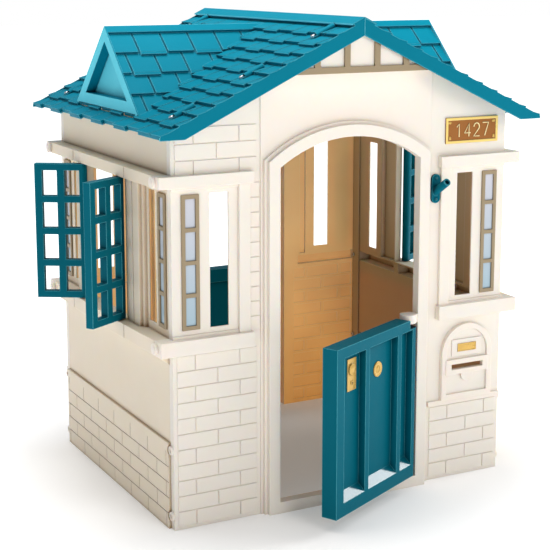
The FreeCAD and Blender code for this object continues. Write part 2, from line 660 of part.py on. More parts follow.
side_panel = cut("side_panel", fuse("side_solid", raised),
                 [fuse("side_openings", hollows + holes)])
keep("left_panel", side_panel)
keep("right_panel", turned_half_round("right_side", side_panel))

# ---------------------------------------------------------------- roof half

SLOPE_LENGTH = f"({HALF_ROOF} / cos({PITCH}))"
ROWS = 11
EXPOSURE = f"(({SLOPE_LENGTH} - cap_leg) / {ROWS})"


def lay_on_slope(item):
    """Set a group drawn flat, ridge at X = 0, on the left slope."""
    item.Placement.Rotation = Rotation(Vector(0, -1, 0), 10)
    tie(item, "Placement.Rotation.Angle", "roof_slope")
    tie(item, "Placement.Base.z", TILE_TOP)
    return item


def sawtooth(name, plane, rows, exposure, leg, rise, length, past, start, end, mirror=1):
    """Stepped shingle sheet drawn flat: smooth strip by the ridge, then one butt per row."""
    first = -mirror
    points = [(f"{mirror} * {past}", f"-({rise} + skin)"), (f"{mirror} * {past}", "0"),
              (f"{first} * ({leg})", "0")]
    for row in range(rows):
        points.append((f"{first} * ({leg} + {row} * {exposure})", f"-{rise}"))
        points.append((f"{first} * ({leg} + {row + 1} * {exposure})", "0"))
    points.append((f"{first} * {length}", f"-({rise} + skin)"))
    return prism(name, plane, points, start, end)


shingle_sheet = sawtooth("shingle_sheet", "XZ", ROWS, EXPOSURE, "cap_leg", "tile_rise",
                         SLOPE_LENGTH, "10", f"-{ROOF_FRONT}", ROOF_FRONT)
gaps = []
tabs = []
for row in range(ROWS):
    near = f"-(cap_leg + {row} * {EXPOSURE})"
    far = f"-(cap_leg + {row + 1} * {EXPOSURE})"
    shift = 0.5 * (row % 2)
    for number in range(-12, 13):
        centre = f"({number + shift} * tile_width)"
        if abs(value(centre)) < value(ROOF_FRONT) - 15:
            gaps.append(block(f"tile_gap_{row}_{number + 12}",
                              [far, f"{centre} - tile_gap / 2", "-tile_rise - skin / 2"],
                              [near, f"{centre} + tile_gap / 2", "1"]))
        start = f"{centre} + tile_gap / 2"
        end = f"{centre} + tile_width - tile_gap / 2"
        whole = value(start) > 15 - value(ROOF_FRONT) and value(end) < value(ROOF_FRONT) - 15
        longer = (number + row // 2) % 2 == 0
        if whole and longer and row < ROWS - 1:
            tabs.append(block(f"tile_tab_{row}_{number + 12}",
                              [f"{far} - tile_step", start, "-tile_rise - skin / 2 - 0.5"],
                              [f"{far} + 2", end, "-0.4"]))
        if whole and not longer and row == ROWS - 1:
            gaps.append(block(f"eave_notch_{number + 12}",
                              [f"{far} - 1", start, f"-{DECK_UNDER} - 1"],
                              [f"{far} + tile_step", end, "1"]))
bars = []
pockets = []
roof_screw_flat = []
SCREW_Y = f"({HALF_DEPTH} - roof_screw_inset)"
for number, place_down in enumerate(("roof_screw_top", "roof_screw_mid", "roof_screw_low")):
    for side, tag in ((-1, "front"), (1, "rear")):
        y = f"{side} * {SCREW_Y}"
        bars.append(rod(f"bar_{tag}_{number}", "X",
                        (f"-({place_down} - 8)", y, "-bar_radius + 4"), "bar_radius",
                        "bar_length"))
        bars.append(rod(f"seat_{tag}_{number}", "Z", (f"-{place_down}", y, f"-{DECK_UNDER}"),
                        "bar_radius + 2", f"{DECK_UNDER} - 2"))
        near, far = in_out(side, f"{SCREW_Y} + bar_radius", f"{SCREW_Y} + bar_radius + 5")
        pockets.append(block(f"pocket_{tag}_{number}", [f"-({place_down} + 4)", near, "-7"],
                             [f"-({place_down} - 8 - bar_length)", far, "5"]))
        head = rod(f"roof_head_{tag}_{number}", "Z", (f"-{place_down}", y, "-2"),
                   "screw_head", "screw_head_thick")
        shank = rod(f"roof_shank_{tag}_{number}", "Z", (f"-{place_down}", y, "-26"),
                    "screw_radius", "25")
        roof_screw_flat.append(fuse(f"roof_screw_{tag}_{number}", [head, shank]))
shingles_flat = fuse("shingles_flat", [cut("shingles_cut", shingle_sheet, gaps)] + tabs + bars)
slope = lay_on_slope(cut("slope", shingles_flat, pockets))

# ---- dormer

DORMER_PITCH = "(dormer_slope * 1deg)"
DORMER_TOP = "(roof_height - dormer_drop)"
DORMER_FACE = f"({HALF_ROOF} - dormer_setback)"
DORMER_FOOT = f"({slope_height(DORMER_FACE)} + 2)"
DORMER_LENGTH = f"(({DORMER_TOP} - {DORMER_FOOT}) / sin({DORMER_PITCH}))"
DORMER_ROWS = 4
DORMER_EXPOSURE = f"(({DORMER_LENGTH} - dormer_cap) / {DORMER_ROWS})"


def dormer_triangle(name, inset, foot, start, end):
    """Upright triangle parallel to the dormer face, moved in from its slopes by inset."""
    top = f"({DORMER_TOP} - ({inset}) / cos({DORMER_PITCH}))"
    half = f"(({top} - ({foot})) / tan({DORMER_PITCH}))"
    return prism(name, "YZ", [(f"-{half}", foot), (half, foot), ("0", top)], start, end)


dormer_pieces = []
for side, tag in ((1, "front"), (-1, "rear")):
    sheet_flat = sawtooth(f"dormer_sheet_{tag}", "YZ", DORMER_ROWS, DORMER_EXPOSURE, "dormer_cap",
                          "dormer_rise", DORMER_LENGTH, "0", f"-{DORMER_FACE}", "-20", side)
    dormer_gaps = []
    dormer_tabs = []
    for row in range(DORMER_ROWS):
        number = 0
        while value(f"({number} + 0.9) * dormer_tile") < value(DORMER_FACE) - 60:
            centre = f"(-{DORMER_FACE} + ({number + 0.9 - 0.5 * (row % 2)}) * dormer_tile)"
            low, high = in_out(-side, f"dormer_cap + {row} * {DORMER_EXPOSURE}",
                               f"dormer_cap + {row + 1} * {DORMER_EXPOSURE}")
            dormer_gaps.append(block(f"dormer_gap_{tag}_{row}_{number}",
                                     [f"{centre} - tile_gap / 2", low,
                                      "-dormer_rise - skin / 2"],
                                     [f"{centre} + tile_gap / 2", high, "1"]))
            if (number + row // 2) % 2 == 0 and row < DORMER_ROWS - 1:
                low, high = in_out(-side, f"dormer_cap + {row + 1} * {DORMER_EXPOSURE} - 2",
                                   f"dormer_cap + {row + 1} * {DORMER_EXPOSURE} + tile_step")
                dormer_tabs.append(block(f"dormer_tab_{tag}_{row}_{number}",
                                         [f"{centre} + tile_gap / 2", low,
                                          "-dormer_rise - skin / 2 - 0.5"],
                                         [f"{centre} + dormer_tile - tile_gap / 2", high,
                                          "-0.4"]))
            number += 1
    flank = fuse(f"dormer_flank_{tag}",
                 [cut(f"dormer_slots_{tag}", sheet_flat, dormer_gaps)] + dormer_tabs)
    flank.Placement.Rotation = Rotation(Vector(side, 0, 0), 10)
    tie(flank, "Placement.Rotation.Angle", "dormer_slope")
    tie(flank, "Placement.Base.z", DORMER_TOP)
    dormer_pieces.append(flank)
dormer_pieces.append(dormer_triangle("dormer_front", "0", DORMER_FOOT, f"-{DORMER_FACE}",
                                     f"-({DORMER_FACE} - skin)"))
dormer_pieces.append(dormer_triangle("dormer_tub", "dormer_frame - skin",
                                     f"{DORMER_FOOT} + dormer_frame - skin", f"-{DORMER_FACE}",
                                     f"-({DORMER_FACE} - dormer_recess - skin)"))
below_roof = prism("below_roof", "XZ", [
    ("10", "300"), (f"-({HALF_ROOF} + 90)", "300"),
    (f"-({HALF_ROOF} + 90)", slope_height(f"({HALF_ROOF} + 90)", DECK_UNDER)),
    ("10", slope_height("-10", DECK_UNDER)),
], "-500", "500")
dormer_panel = dormer_triangle("dormer_panel", "dormer_frame", f"{DORMER_FOOT} + dormer_frame",
                               f"-({DORMER_FACE} + 10)", f"-({DORMER_FACE} - dormer_recess)")
dormer = cut("dormer", fuse("dormer_solid", dormer_pieces), [fuse("dormer_trim",
                                                                  [below_roof, dormer_panel])])
dormer_room = dormer_triangle("dormer_room", "dormer_rise + skin", f"{DORMER_FOOT} - 60",
                              f"-({DORMER_FACE} - skin)", "-20")
slope_open = cut("slope_open", slope, [dormer_room])

# ---- fascias, half roof and the ridge cap

TOE_LEVEL = f"({slope_height(HALF_ROOF)} - fascia_toe)"
TOE_RUN = f"(({TILE_TOP} - fascia_height - {TOE_LEVEL}) / tan({PITCH}))"
fascias = []
for name, start, end in (("fascia_front", f"-{ROOF_FRONT}", f"-({ROOF_FRONT} - skin)"),
                         ("fascia_rear", f"{ROOF_FRONT} - skin", ROOF_FRONT)):
    fascias.append(prism(name, "XZ", [
        (f"-{HALF_ROOF}", slope_height(HALF_ROOF, "fascia_drop")),
        (f"-{HALF_ROOF}", TOE_LEVEL),
        (f"-{TOE_RUN}", TOE_LEVEL),
        ("10", f"{TILE_TOP} - fascia_height + 10 * tan({PITCH})"),
        ("10", slope_height("-10", "fascia_drop")),
    ], start, end))
half_solid = fuse("half_solid", [slope_open, dormer] + fascias)
seam = block("seam", ["-joint_gap / 2", f"-({ROOF_FRONT} + 10)", "800"],
             ["60", f"{ROOF_FRONT} + 10", "roof_height + 60"])
roof_half = cut("roof_half", half_solid, [seam])
CAP_EDGE = slope_height("cap_leg")
ridge_cap = prism("ridge_cap", "XZ", [
    ("-cap_leg", f"{CAP_EDGE} - 1"), ("-cap_leg", f"{CAP_EDGE} + cap_rise"), ("0", "roof_height"),
    ("cap_leg", f"{CAP_EDGE} + cap_rise"), ("cap_leg", f"{CAP_EDGE} + joint_gap"),
    ("0", f"{TILE_TOP} + joint_gap"), ("-joint_gap", f"{TILE_TOP} - 1"),
], f"-{ROOF_FRONT}", ROOF_FRONT)
keep("roof_left", fuse("capped_half", [roof_half, ridge_cap]))
keep("roof_right", turned_half_round("right_half", roof_half))

# ---------------------------------------------------------------- false windows and gable trim


def lattice(name, low, high, turned):
    """Frame with four panes, in the wall's own position."""
    box = side_box if turned else front_box
    frame = box(f"{name}_frame", (low, high), "frame_thick", ("slot_low", "slot_high"))
    clear = "(slot_high - slot_low - frame_border)"
    panes = []
    openings = []
    for number in range(4):
        sill = f"slot_low + frame_border + {number} * {clear} / 4"
        head = f"{sill} + {clear} / 4 - frame_border"
        inner = (f"{low} + frame_border", f"{high} - frame_border")
        openings.append(box(f"{name}_light_{number}", inner, "frame_thick + 1", (sill, head), "-1"))
        panes.append(box(f"{name}_pane_{number}", inner, "pane_thick", (sill, head)))
    return cut(name, frame, openings), panes


def window_nodes(wall, ranges, turned):
    frames = []
    panes = []
    for number, (low, high) in enumerate(ranges):
        frame, lights = lattice(f"{wall}_lattice_{number}", low, high, turned)
        frames.append(frame)
        panes += lights
    return bundle(f"{wall}_frames", frames), bundle(f"{wall}_panes", panes)


end_ranges = [in_out(side, "end_frame_inner", "end_frame_inner + frame_width") for side, tag in SIDES]
side_ranges = [in_out(side, "side_frame_inner", "side_frame_inner + frame_width - 2")
               for side, tag in SIDES]
end_frames, end_panes = window_nodes("end", end_ranges, False)
side_frames, side_panes = window_nodes("side", side_ranges, True)
keep("front_window_frames", end_frames)
keep("front_window_panes", end_panes)
keep("back_window_frames", turned_half_round("rear_frames", end_frames))
keep("back_window_panes", turned_half_round("rear_panes", end_panes))
keep("left_window_frames", side_frames)
keep("left_window_panes", side_panes)
keep("right_window_frames", turned_half_round("right_frames", side_frames))
keep("right_window_panes", turned_half_round("right_panes", side_panes))

TRUSS = ("gable_rise + truss_thick", "gable_rise")
beam_half = f"(({slope_height('0', WALL_TOP)} - {GABLE_BASE} - truss_bar) / tan({PITCH}) - 4)"
truss_pieces = [front_box("truss_beam", (f"-{beam_half}", beam_half), TRUSS[0],
                          (GABLE_BASE, f"{GABLE_BASE} + truss_bar"), TRUSS[1])]
for number, centre in enumerate((-127, -43, 43, 127)):
    top = slope_height(f"{abs(centre)} + truss_bar / 2", f"{WALL_TOP} + 1")
    truss_pieces.append(front_box(
        f"truss_stud_{number}", (f"{centre} - truss_bar / 2", f"{centre} + truss_bar / 2"),
        TRUSS[0], (f"{GABLE_BASE} + truss_bar - 1", top), TRUSS[1]))
truss = fuse("truss", truss_pieces)
keep("front_gable_truss", truss)
keep("back_gable_truss", turned_half_round("rear_truss", truss))

# ---------------------------------------------------------------- half doors

door_half_thick = "(door_thick / 2)"
NOTCH_LOW = "(lug_low - 12)"
leaf = block("leaf_board", ["-door_reach", f"-{door_half_thick}", "door_low"],
             ["0", door_half_thick, "door_high"])
knuckle = rod("leaf_knuckle", "Z", ("0", "0", "door_low"), door_half_thick,
              "door_high - door_low")
notch = block("leaf_notch", ["-(lug_radius + 2)", "-door_thick", NOTCH_LOW],
              ["door_thick", "door_thick", "door_high + 1"])
panel_cuts = []
edge = "(-door_reach + door_margin)"
for number, width in enumerate(("door_panel_a", "door_panel_b", "door_panel_c")):
    low = "(door_low + door_foot_rail)"
    high = "(door_high - door_top_rail)"
    floor = f"(-{door_half_thick} + door_recess)"
    panel_cuts.append(prism(f"door_panel_{number}", "YZ", [
        (f"-{door_half_thick} - 1", low), (f"-{door_half_thick}", low),
        (floor, f"{low} + door_recess"), (floor, f"{high} - door_recess * 0.4"),
        (f"-{door_half_thick}", high), (f"-{door_half_thick} - 1", high),
    ], edge, f"{edge} + {width}"))
    edge = f"({edge} + {width} + door_mullion)"
back_pocket = block("door_back", ["-door_reach + 16", f"-{door_half_thick} + door_recess + skin",
                                  "door_low + 16"],
                    ["-40", "door_thick", f"{NOTCH_LOW} - 16"])
leaf_cut = cut("leaf_cut", fuse("leaf_solid", [leaf, knuckle]), panel_cuts + [notch, back_pocket])
door_leaf = fuse("door_leaf", [
    leaf_cut,
    rod("pin_top", "Z", ("0", "0", f"{NOTCH_LOW} - 2"), "door_pin", "lug_high - lug_low + 6"),
    rod("pin_foot", "Z", ("0", "0", "threshold_height - 16"), "door_pin",
        "door_low - threshold_height + 20"),
])
LOCK_FACE = f"-{door_half_thick} + door_recess"
lock_plate = fuse("lock_plate", [
    block("lock_back", ["-door_reach + door_margin + lock_inset", f"{LOCK_FACE} - plate_thick", "lock_low"],
          ["-door_reach + door_margin + lock_inset + lock_width", LOCK_FACE, "lock_low + lock_height"]),
    rod("lock_knob", "Y", ("-door_reach + door_margin + lock_inset + lock_width / 2",
                           f"{LOCK_FACE} - plate_thick - 3", "lock_low + lock_height * 0.66"),
        "lock_width * 0.38", "4"),
    rod("lock_eye", "Y", ("-door_reach + door_margin + lock_inset + lock_width / 2",
                          f"{LOCK_FACE} - plate_thick - 1", "lock_low + lock_height * 0.24"),
        "lock_width * 0.11", "2"),
])
roundel = rod("roundel", "Y",
              ("-door_reach + door_margin + door_panel_a + door_mullion + door_panel_b / 2",
               f"{LOCK_FACE} - plate_thick", "(door_low + door_high) / 2 + 115"),
              "lock_width / 2", "plate_thick")


def hang_door(name, item, rear, opening):
    """Place a piece drawn in the closed door's own frame at its hinge."""
    hung = bundle(name, [item])
    hung.Placement.Rotation = Rotation(Vector(0, 0, 1), 10)
    tie(hung, "Placement.Rotation.Angle", f"{180 if rear else 0} + {opening}")
    turn = "-1" if rear else "1"
    tie(hung, "Placement.Base.x", f"{turn} * door_axis_x")
    tie(hung, "Placement.Base.y", f"{turn} * {END_AXIS_Y}")
    return hung


for wall, rear, opening in (("front", False, "door_open"), ("back", True, "0")):
    keep(f"{wall}_door", hang_door(f"{wall}_leaf", door_leaf, rear, opening))
keep("front_door_lock_plate", hang_door("front_lock", lock_plate, False, "door_open"))
keep("front_door_roundel", hang_door("front_disc", roundel, False, "door_open"))

# ---------------------------------------------------------------- shutters

SHUTTER_LOW = "(sill_high + shutter_gap)"
SHUTTER_HIGH = "(header_low - shutter_gap)"
SHUTTER_REACH = "(shutter_axis_y - shutter_meet / 2)"
shutter_radius = "(shutter_thick / 2)"
grille = block("grille", ["0", f"-{shutter_radius}", SHUTTER_LOW],
               [SHUTTER_REACH, shutter_radius, SHUTTER_HIGH])
barrel = rod("barrel", "Z", ("0", "0", SHUTTER_LOW), shutter_radius,
             f"{SHUTTER_HIGH} - {SHUTTER_LOW}")
lights = []
LIGHT_WIDTH = f"(({SHUTTER_REACH} - 2.45 * shutter_stile) / 2)"
LIGHT_HEIGHT = f"(({SHUTTER_HIGH} - {SHUTTER_LOW} - 5 * shutter_rail) / 4)"
for column in range(2):
    left = f"(shutter_stile * 0.45 + {column} * ({LIGHT_WIDTH} + shutter_stile))"
    for row in range(4):
        foot = f"({SHUTTER_LOW} + shutter_rail + {row} * ({LIGHT_HEIGHT} + shutter_rail))"
        lights.append(block(f"light_{column}_{row}", [left, "-shutter_thick", foot],
                            [f"{left} + {LIGHT_WIDTH}", "shutter_thick",
                             f"{foot} + {LIGHT_HEIGHT}"]))
shutter_open_frame = cut("shutter_frame", fuse("shutter_board", [grille, barrel]), lights)
shutter_leaf = fuse("shutter_leaf", [
    shutter_open_frame,
    rod("shutter_pin_head", "Z", ("0", "0", f"{SHUTTER_HIGH} - 4"), "shutter_pin",
        "shutter_gap + shutter_pin_length + 2"),
    rod("shutter_pin_foot", "Z", ("0", "0", f"{SHUTTER_LOW} - shutter_gap - shutter_pin_length + 2"),
        "shutter_pin", "shutter_gap + shutter_pin_length + 2"),
])
for name, left, front in (("left_front", 1, 1), ("left_rear", 1, -1),
                          ("right_front", -1, 1), ("right_rear", -1, -1)):
    hung = bundle(f"{name}_leaf", [shutter_leaf])
    hung.Placement.Rotation = Rotation(Vector(0, 0, 1), 10)
    closed = 90 if front > 0 else 270
    sign = left * front
    tie(hung, "Placement.Rotation.Angle", f"{closed} + {sign} * shutter_open")
    tie(hung, "Placement.Base.x", f"{left} * {SHUTTER_X}")
    tie(hung, "Placement.Base.y", f"{-front} * shutter_axis_y")
    keep(f"{name}_shutter", hung)

# ---------------------------------------------------------------- fittings and fasteners

PLAQUE = ("plaque_left", "plaque_left + plaque_width")
plaque_field = front_box("plaque_field", ("plaque_left + 7", "plaque_left + plaque_width - 7"),
                         "plaque_thick + 1",
                         ("plaque_low + 7", "plaque_low + plaque_height - 7"),
                         "plaque_thick - 2")
plaque = cut("plaque", front_box("plaque_board", PLAQUE, "plaque_thick",
                                 ("plaque_low", "plaque_low + plaque_height")), [plaque_field])
keep("house_number_plaque", plaque)


def stroke_digit(name, digit, left, low, width, height, bar):
    """Plain seven-stroke numeral made of flat bars."""
    top = f"({low} + {height})"
    middle = f"({low} + {height} / 2)"
    right = f"({left} + {width})"
    strokes = {
        "top": (left, right, f"{top} - {bar}", top),
        "mid": (left, right, f"{middle} - {bar} / 2", f"{middle} + {bar} / 2"),
        "foot": (left, right, low, f"{low} + {bar}"),
        "upper_left": (left, f"{left} + {bar}", middle, top),
        "upper_right": (f"{right} - {bar}", right, middle, top),
        "lower_left": (left, f"{left} + {bar}", low, middle),
        "lower_right": (f"{right} - {bar}", right, low, middle),
    }
    used = {
        "1": ("upper_right", "lower_right"),
        "2": ("top", "upper_right", "mid", "lower_left", "foot"),
        "4": ("upper_left", "upper_right", "mid", "lower_right"),
        "7": ("top", "upper_right", "lower_right"),
    }[digit]
    bars = []
    for stroke in used:
        x0, x1, z0, z1 = strokes[stroke]
        bars.append(front_box(f"{name}_{stroke}", (x0, x1), "plaque_thick - 0.8", (z0, z1),
                              "plaque_thick - 2"))
    return fuse(name, bars)


digits = []
for number, digit in enumerate("1427"):
    digits.append(stroke_digit(f"digit_{digit}", digit,
                               f"(plaque_left + plaque_width / 2 - 54 + {number} * 29)",
                               "(plaque_low + plaque_height / 2 - 19)", "20", "38", "3.5"))
keep("house_number_digits", bundle("digits", digits))
rivets = []
for x in ("plaque_left + 13", "plaque_left + plaque_width - 13"):
    for z in ("plaque_low + 13", "plaque_low + plaque_height - 13"):
        rivets.append(rod(f"rivet_{len(rivets)}", "Y",
                          (x, f"-({HALF_DEPTH} + plaque_thick - 0.5)", z), "3.4", "1.5"))
keep("house_number_rivets", bundle("rivets", rivets))
keep("mailbox_label", front_box("label", ("mailbox_x - 30", "mailbox_x + 30"),
                                "mailbox_rise - 2", ("mail_slot_low + 48", "mail_slot_low + 70"),
                                "mailbox_rise - 3"))

# flag holder: stadium back plate and a slanting tube with a blind bore
FLAG_Y = f"-({HALF_DEPTH} + flag_plate_thick)"
flag_radius = "(flag_plate / 2)"
flag_pieces = [
    front_box("flag_body", (f"flag_x - {flag_radius}", f"flag_x + {flag_radius}"),
              "flag_plate_thick",
              (f"flag_low + {flag_radius}", f"flag_low + flag_height - {flag_radius}")),
]
for name, level in (("foot", f"flag_low + {flag_radius}"),
                    ("head", f"flag_low + flag_height - {flag_radius}")):
    flag_pieces.append(rod(f"flag_{name}", "Y", ("flag_x", FLAG_Y, level), flag_radius,
                           "flag_plate_thick"))
TUBE_LOW = "(flag_low + flag_height * 0.36)"


def slanted(name, radius, start, length):
    """Cylinder on the flag tube's axis, starting a distance out from the wall."""
    item = doc.addObject("Part::Cylinder", name)
    item.Placement.Rotation = Rotation(Vector(1, 0, 0), 60)
    tie(item, "Placement.Rotation.Angle", "90 - flag_angle")
    tie(item, "Radius", radius)
    tie(item, "Height", length)
    place(item, ("flag_x",
                 f"-({HALF_DEPTH} + {start} * cos(flag_angle * 1deg))",
                 f"{TUBE_LOW} + {start} * sin(flag_angle * 1deg)"))
    return item


tube = slanted("flag_tube_body", "flag_tube", "0", "flag_length")
behind_wall = front_box("flag_behind", ("flag_x - 40", "flag_x + 40"), "0",
                        ("flag_low - 40", "flag_low + flag_height + 40"), "-60")
flag_solid = cut("flag_solid", fuse("flag_whole", flag_pieces + [tube]), [behind_wall])
bore = slanted("flag_bore_cut", "flag_bore", "(flag_length - flag_depth)", "flag_depth + 5")
keep("flag_holder", cut("flag_holder_body", flag_solid, [bore]))

screws = []
for number, level in enumerate((f"flag_low + {flag_radius} * 0.75",
                                f"flag_low + flag_height - {flag_radius} * 0.75")):
    head = rod(f"flag_screw_head_{number}", "Y",
               ("flag_x", f"-({HALF_DEPTH} + flag_plate_thick + screw_head_thick * 0.6)", level),
               "screw_head * 0.75", "screw_head_thick * 0.6")
    shank = rod(f"flag_screw_shank_{number}", "Y",
                ("flag_x", f"-({HALF_DEPTH} + flag_plate_thick + 1)", level), "screw_radius",
                "flag_plate_thick + skin + 4")
    screws.append(fuse(f"flag_screw_{number}", [head, shank]))
keep("flag_holder_screws", bundle("flag_screw_pair", screws))

left_roof_screws = lay_on_slope(bundle("left_roof_screws", roof_screw_flat))
keep("roof_screws", bundle("all_roof_screws",
                           [left_roof_screws,
                            turned_half_round("right_roof_screws", left_roof_screws)]))

corner_screws = []
for side, tag in SIDES:
    for number, level in enumerate(CORNER_LEVELS):
        face = f"({LAP_FACE} - skin)"
        near, far = in_out(side, f"{face} - screw_head_thick", face)
        head = rod(f"corner_head_{tag}_{number}", "X", (near, BOSS_Y, level), "screw_head",
                   f"({far}) - ({near})")
        near, far = in_out(side, f"{face} - 1", f"{HALF_WIDTH} + boss_rise - 3.5")
        shank = rod(f"corner_shank_{tag}_{number}", "X", (near, BOSS_Y, level), "screw_radius",
                    f"({far}) - ({near})")
        corner_screws.append(fuse(f"corner_screw_{tag}_{number}", [head, shank]))
front_screws = bundle("front_corner_screws", corner_screws)
keep("corner_screws", bundle("all_corner_screws",
                             [front_screws, turned_half_round("rear_screws", front_screws)]))

# ---------------------------------------------------------------- check and write

doc.recompute()
broken = [item.Name for item in doc.Objects if "Invalid" in item.State or "Error" in item.State]
if broken:
    raise RuntimeError(f"these objects did not build: {broken}")
for name, item in nodes.items():
    if item.Shape.isNull() or not item.Shape.isValid():
        raise RuntimeError(f"{name} has no valid shape")

# the origin stands on the ground under the middle of the house as it rests, front door ajar
whole = FreeCAD.BoundBox()
for item in nodes.values():
    whole.add(item.Shape.BoundBox)
to_origin = Vector(-(whole.XMin + whole.XMax) / 2, -(whole.YMin + whole.YMax) / 2, -whole.ZMin)
os.makedirs("parts", exist_ok=True)
for name, item in nodes.items():
    shape = item.Shape.copy()
    shape.translate(to_origin)
    shape.exportStep(f"parts/{name}.step")
print("moved to the origin by", [round(step, 3) for step in to_origin])
print("door hinge at", round(value("door_axis_x"), 3),
      round(value(END_AXIS_Y) + to_origin.y, 3), "and shutters at",
      round(value(SHUTTER_X), 3), round(value("shutter_axis_y"), 3), "before the move")
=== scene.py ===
"""Looks of the plastic playhouse: moulded cream walls, teal shingled roof, half doors, shutters,
printed panes and brass-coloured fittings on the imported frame. Metres, Z up."""

import json
import math

import bmesh
import bpy
import numpy as np
from mathutils import Matrix, Vector


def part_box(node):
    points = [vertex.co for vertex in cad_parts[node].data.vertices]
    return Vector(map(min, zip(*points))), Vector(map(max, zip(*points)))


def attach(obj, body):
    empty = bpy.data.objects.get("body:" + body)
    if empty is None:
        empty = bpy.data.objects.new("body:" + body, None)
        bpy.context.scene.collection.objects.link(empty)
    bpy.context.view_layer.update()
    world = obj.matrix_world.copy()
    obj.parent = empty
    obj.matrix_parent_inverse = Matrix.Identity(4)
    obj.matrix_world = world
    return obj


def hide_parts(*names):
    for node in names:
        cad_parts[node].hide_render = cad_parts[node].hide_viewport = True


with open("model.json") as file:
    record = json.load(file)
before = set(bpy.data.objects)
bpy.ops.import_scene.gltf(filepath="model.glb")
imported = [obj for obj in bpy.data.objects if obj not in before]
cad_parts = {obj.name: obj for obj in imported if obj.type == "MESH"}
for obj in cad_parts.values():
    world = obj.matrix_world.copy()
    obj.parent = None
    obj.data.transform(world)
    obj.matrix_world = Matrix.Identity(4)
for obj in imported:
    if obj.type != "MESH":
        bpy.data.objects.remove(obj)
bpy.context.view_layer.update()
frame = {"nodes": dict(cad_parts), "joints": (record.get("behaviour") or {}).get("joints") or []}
nodes = frame["nodes"]
MM = 0.001

scene = bpy.context.scene


# ---------------------------------------------------------------- shader node groups

def srgb(red, green, blue):
    """Linear colour from ordinary 0-255 values."""
    def linear(level):
        level /= 255
        return level / 12.92 if level <= 0.04045 else ((level + 0.055) / 1.055) ** 2.4
    return linear(red), linear(green), linear(blue), 1.0


def new_group(name, inputs, outputs):
    """Empty shader group with named sockets; inputs are (name, kind, default)."""
    group = bpy.data.node_groups.new(name, "ShaderNodeTree")
    for label, kind, default in inputs:
        socket = group.interface.new_socket(label, in_out="INPUT", socket_type=f"NodeSocket{kind}")
        socket.default_value = default
    for label, kind in outputs:
        group.interface.new_socket(label, in_out="OUTPUT", socket_type=f"NodeSocket{kind}")
    entry = group.nodes.new("NodeGroupInput")
    leave = group.nodes.new("NodeGroupOutput")
    return group, entry.outputs, leave.inputs


def feed(tree, socket, source):
    """Link a socket, or set its value."""
    if isinstance(source, bpy.types.NodeSocket):
        tree.links.new(source, socket)
    else:
        socket.default_value = source


def math_node(tree, operation, *values, clamp=False):
    """Math node on two or three values, each a number or a socket."""
    node = tree.nodes.new("ShaderNodeMath")
    node.operation = operation
    node.use_clamp = clamp
    for socket, source in zip(node.inputs, values):
        feed(tree, socket, source)
    return node.outputs[0]


def dot_product(tree, first, second):
    node = tree.nodes.new("ShaderNodeVectorMath")
    node.operation = "DOT_PRODUCT"
    feed(tree, node.inputs[0], first)
    feed(tree, node.inputs[1], second)
    return node.outputs["Value"]


def mix_colour(tree, factor, first, second, blend="MIX"):
    node = tree.nodes.new("ShaderNodeMix")
    node.data_type = "RGBA"
    node.blend_type = blend
    feed(tree, node.inputs["Factor"], factor)
    feed(tree, node.inputs["A"], first)
    feed(tree, node.inputs["B"], second)
    return node.outputs["Result"]


def noise(tree, place, scale, detail=3.0):
    node = tree.nodes.new("ShaderNodeTexNoise")
    node.inputs["Detail"].default_value = detail
    feed(tree, node.inputs["Scale"], scale)
    tree.links.new(place, node.inputs["Vector"])
    return node.outputs["Fac"]


def ramp_between(tree, value, low, high):
    """0 below low, 1 above high."""
    node = tree.nodes.new("ShaderNodeMapRange")
    node.clamp = True
    feed(tree, node.inputs["Value"], value)
    feed(tree, node.inputs["From Min"], low)
    feed(tree, node.inputs["From Max"], high)
    return node.outputs["Result"]


def where(tree):
    """Position in the playhouse's own frame, in metres."""
    return tree.nodes.new("ShaderNodeTexCoord").outputs["Object"]


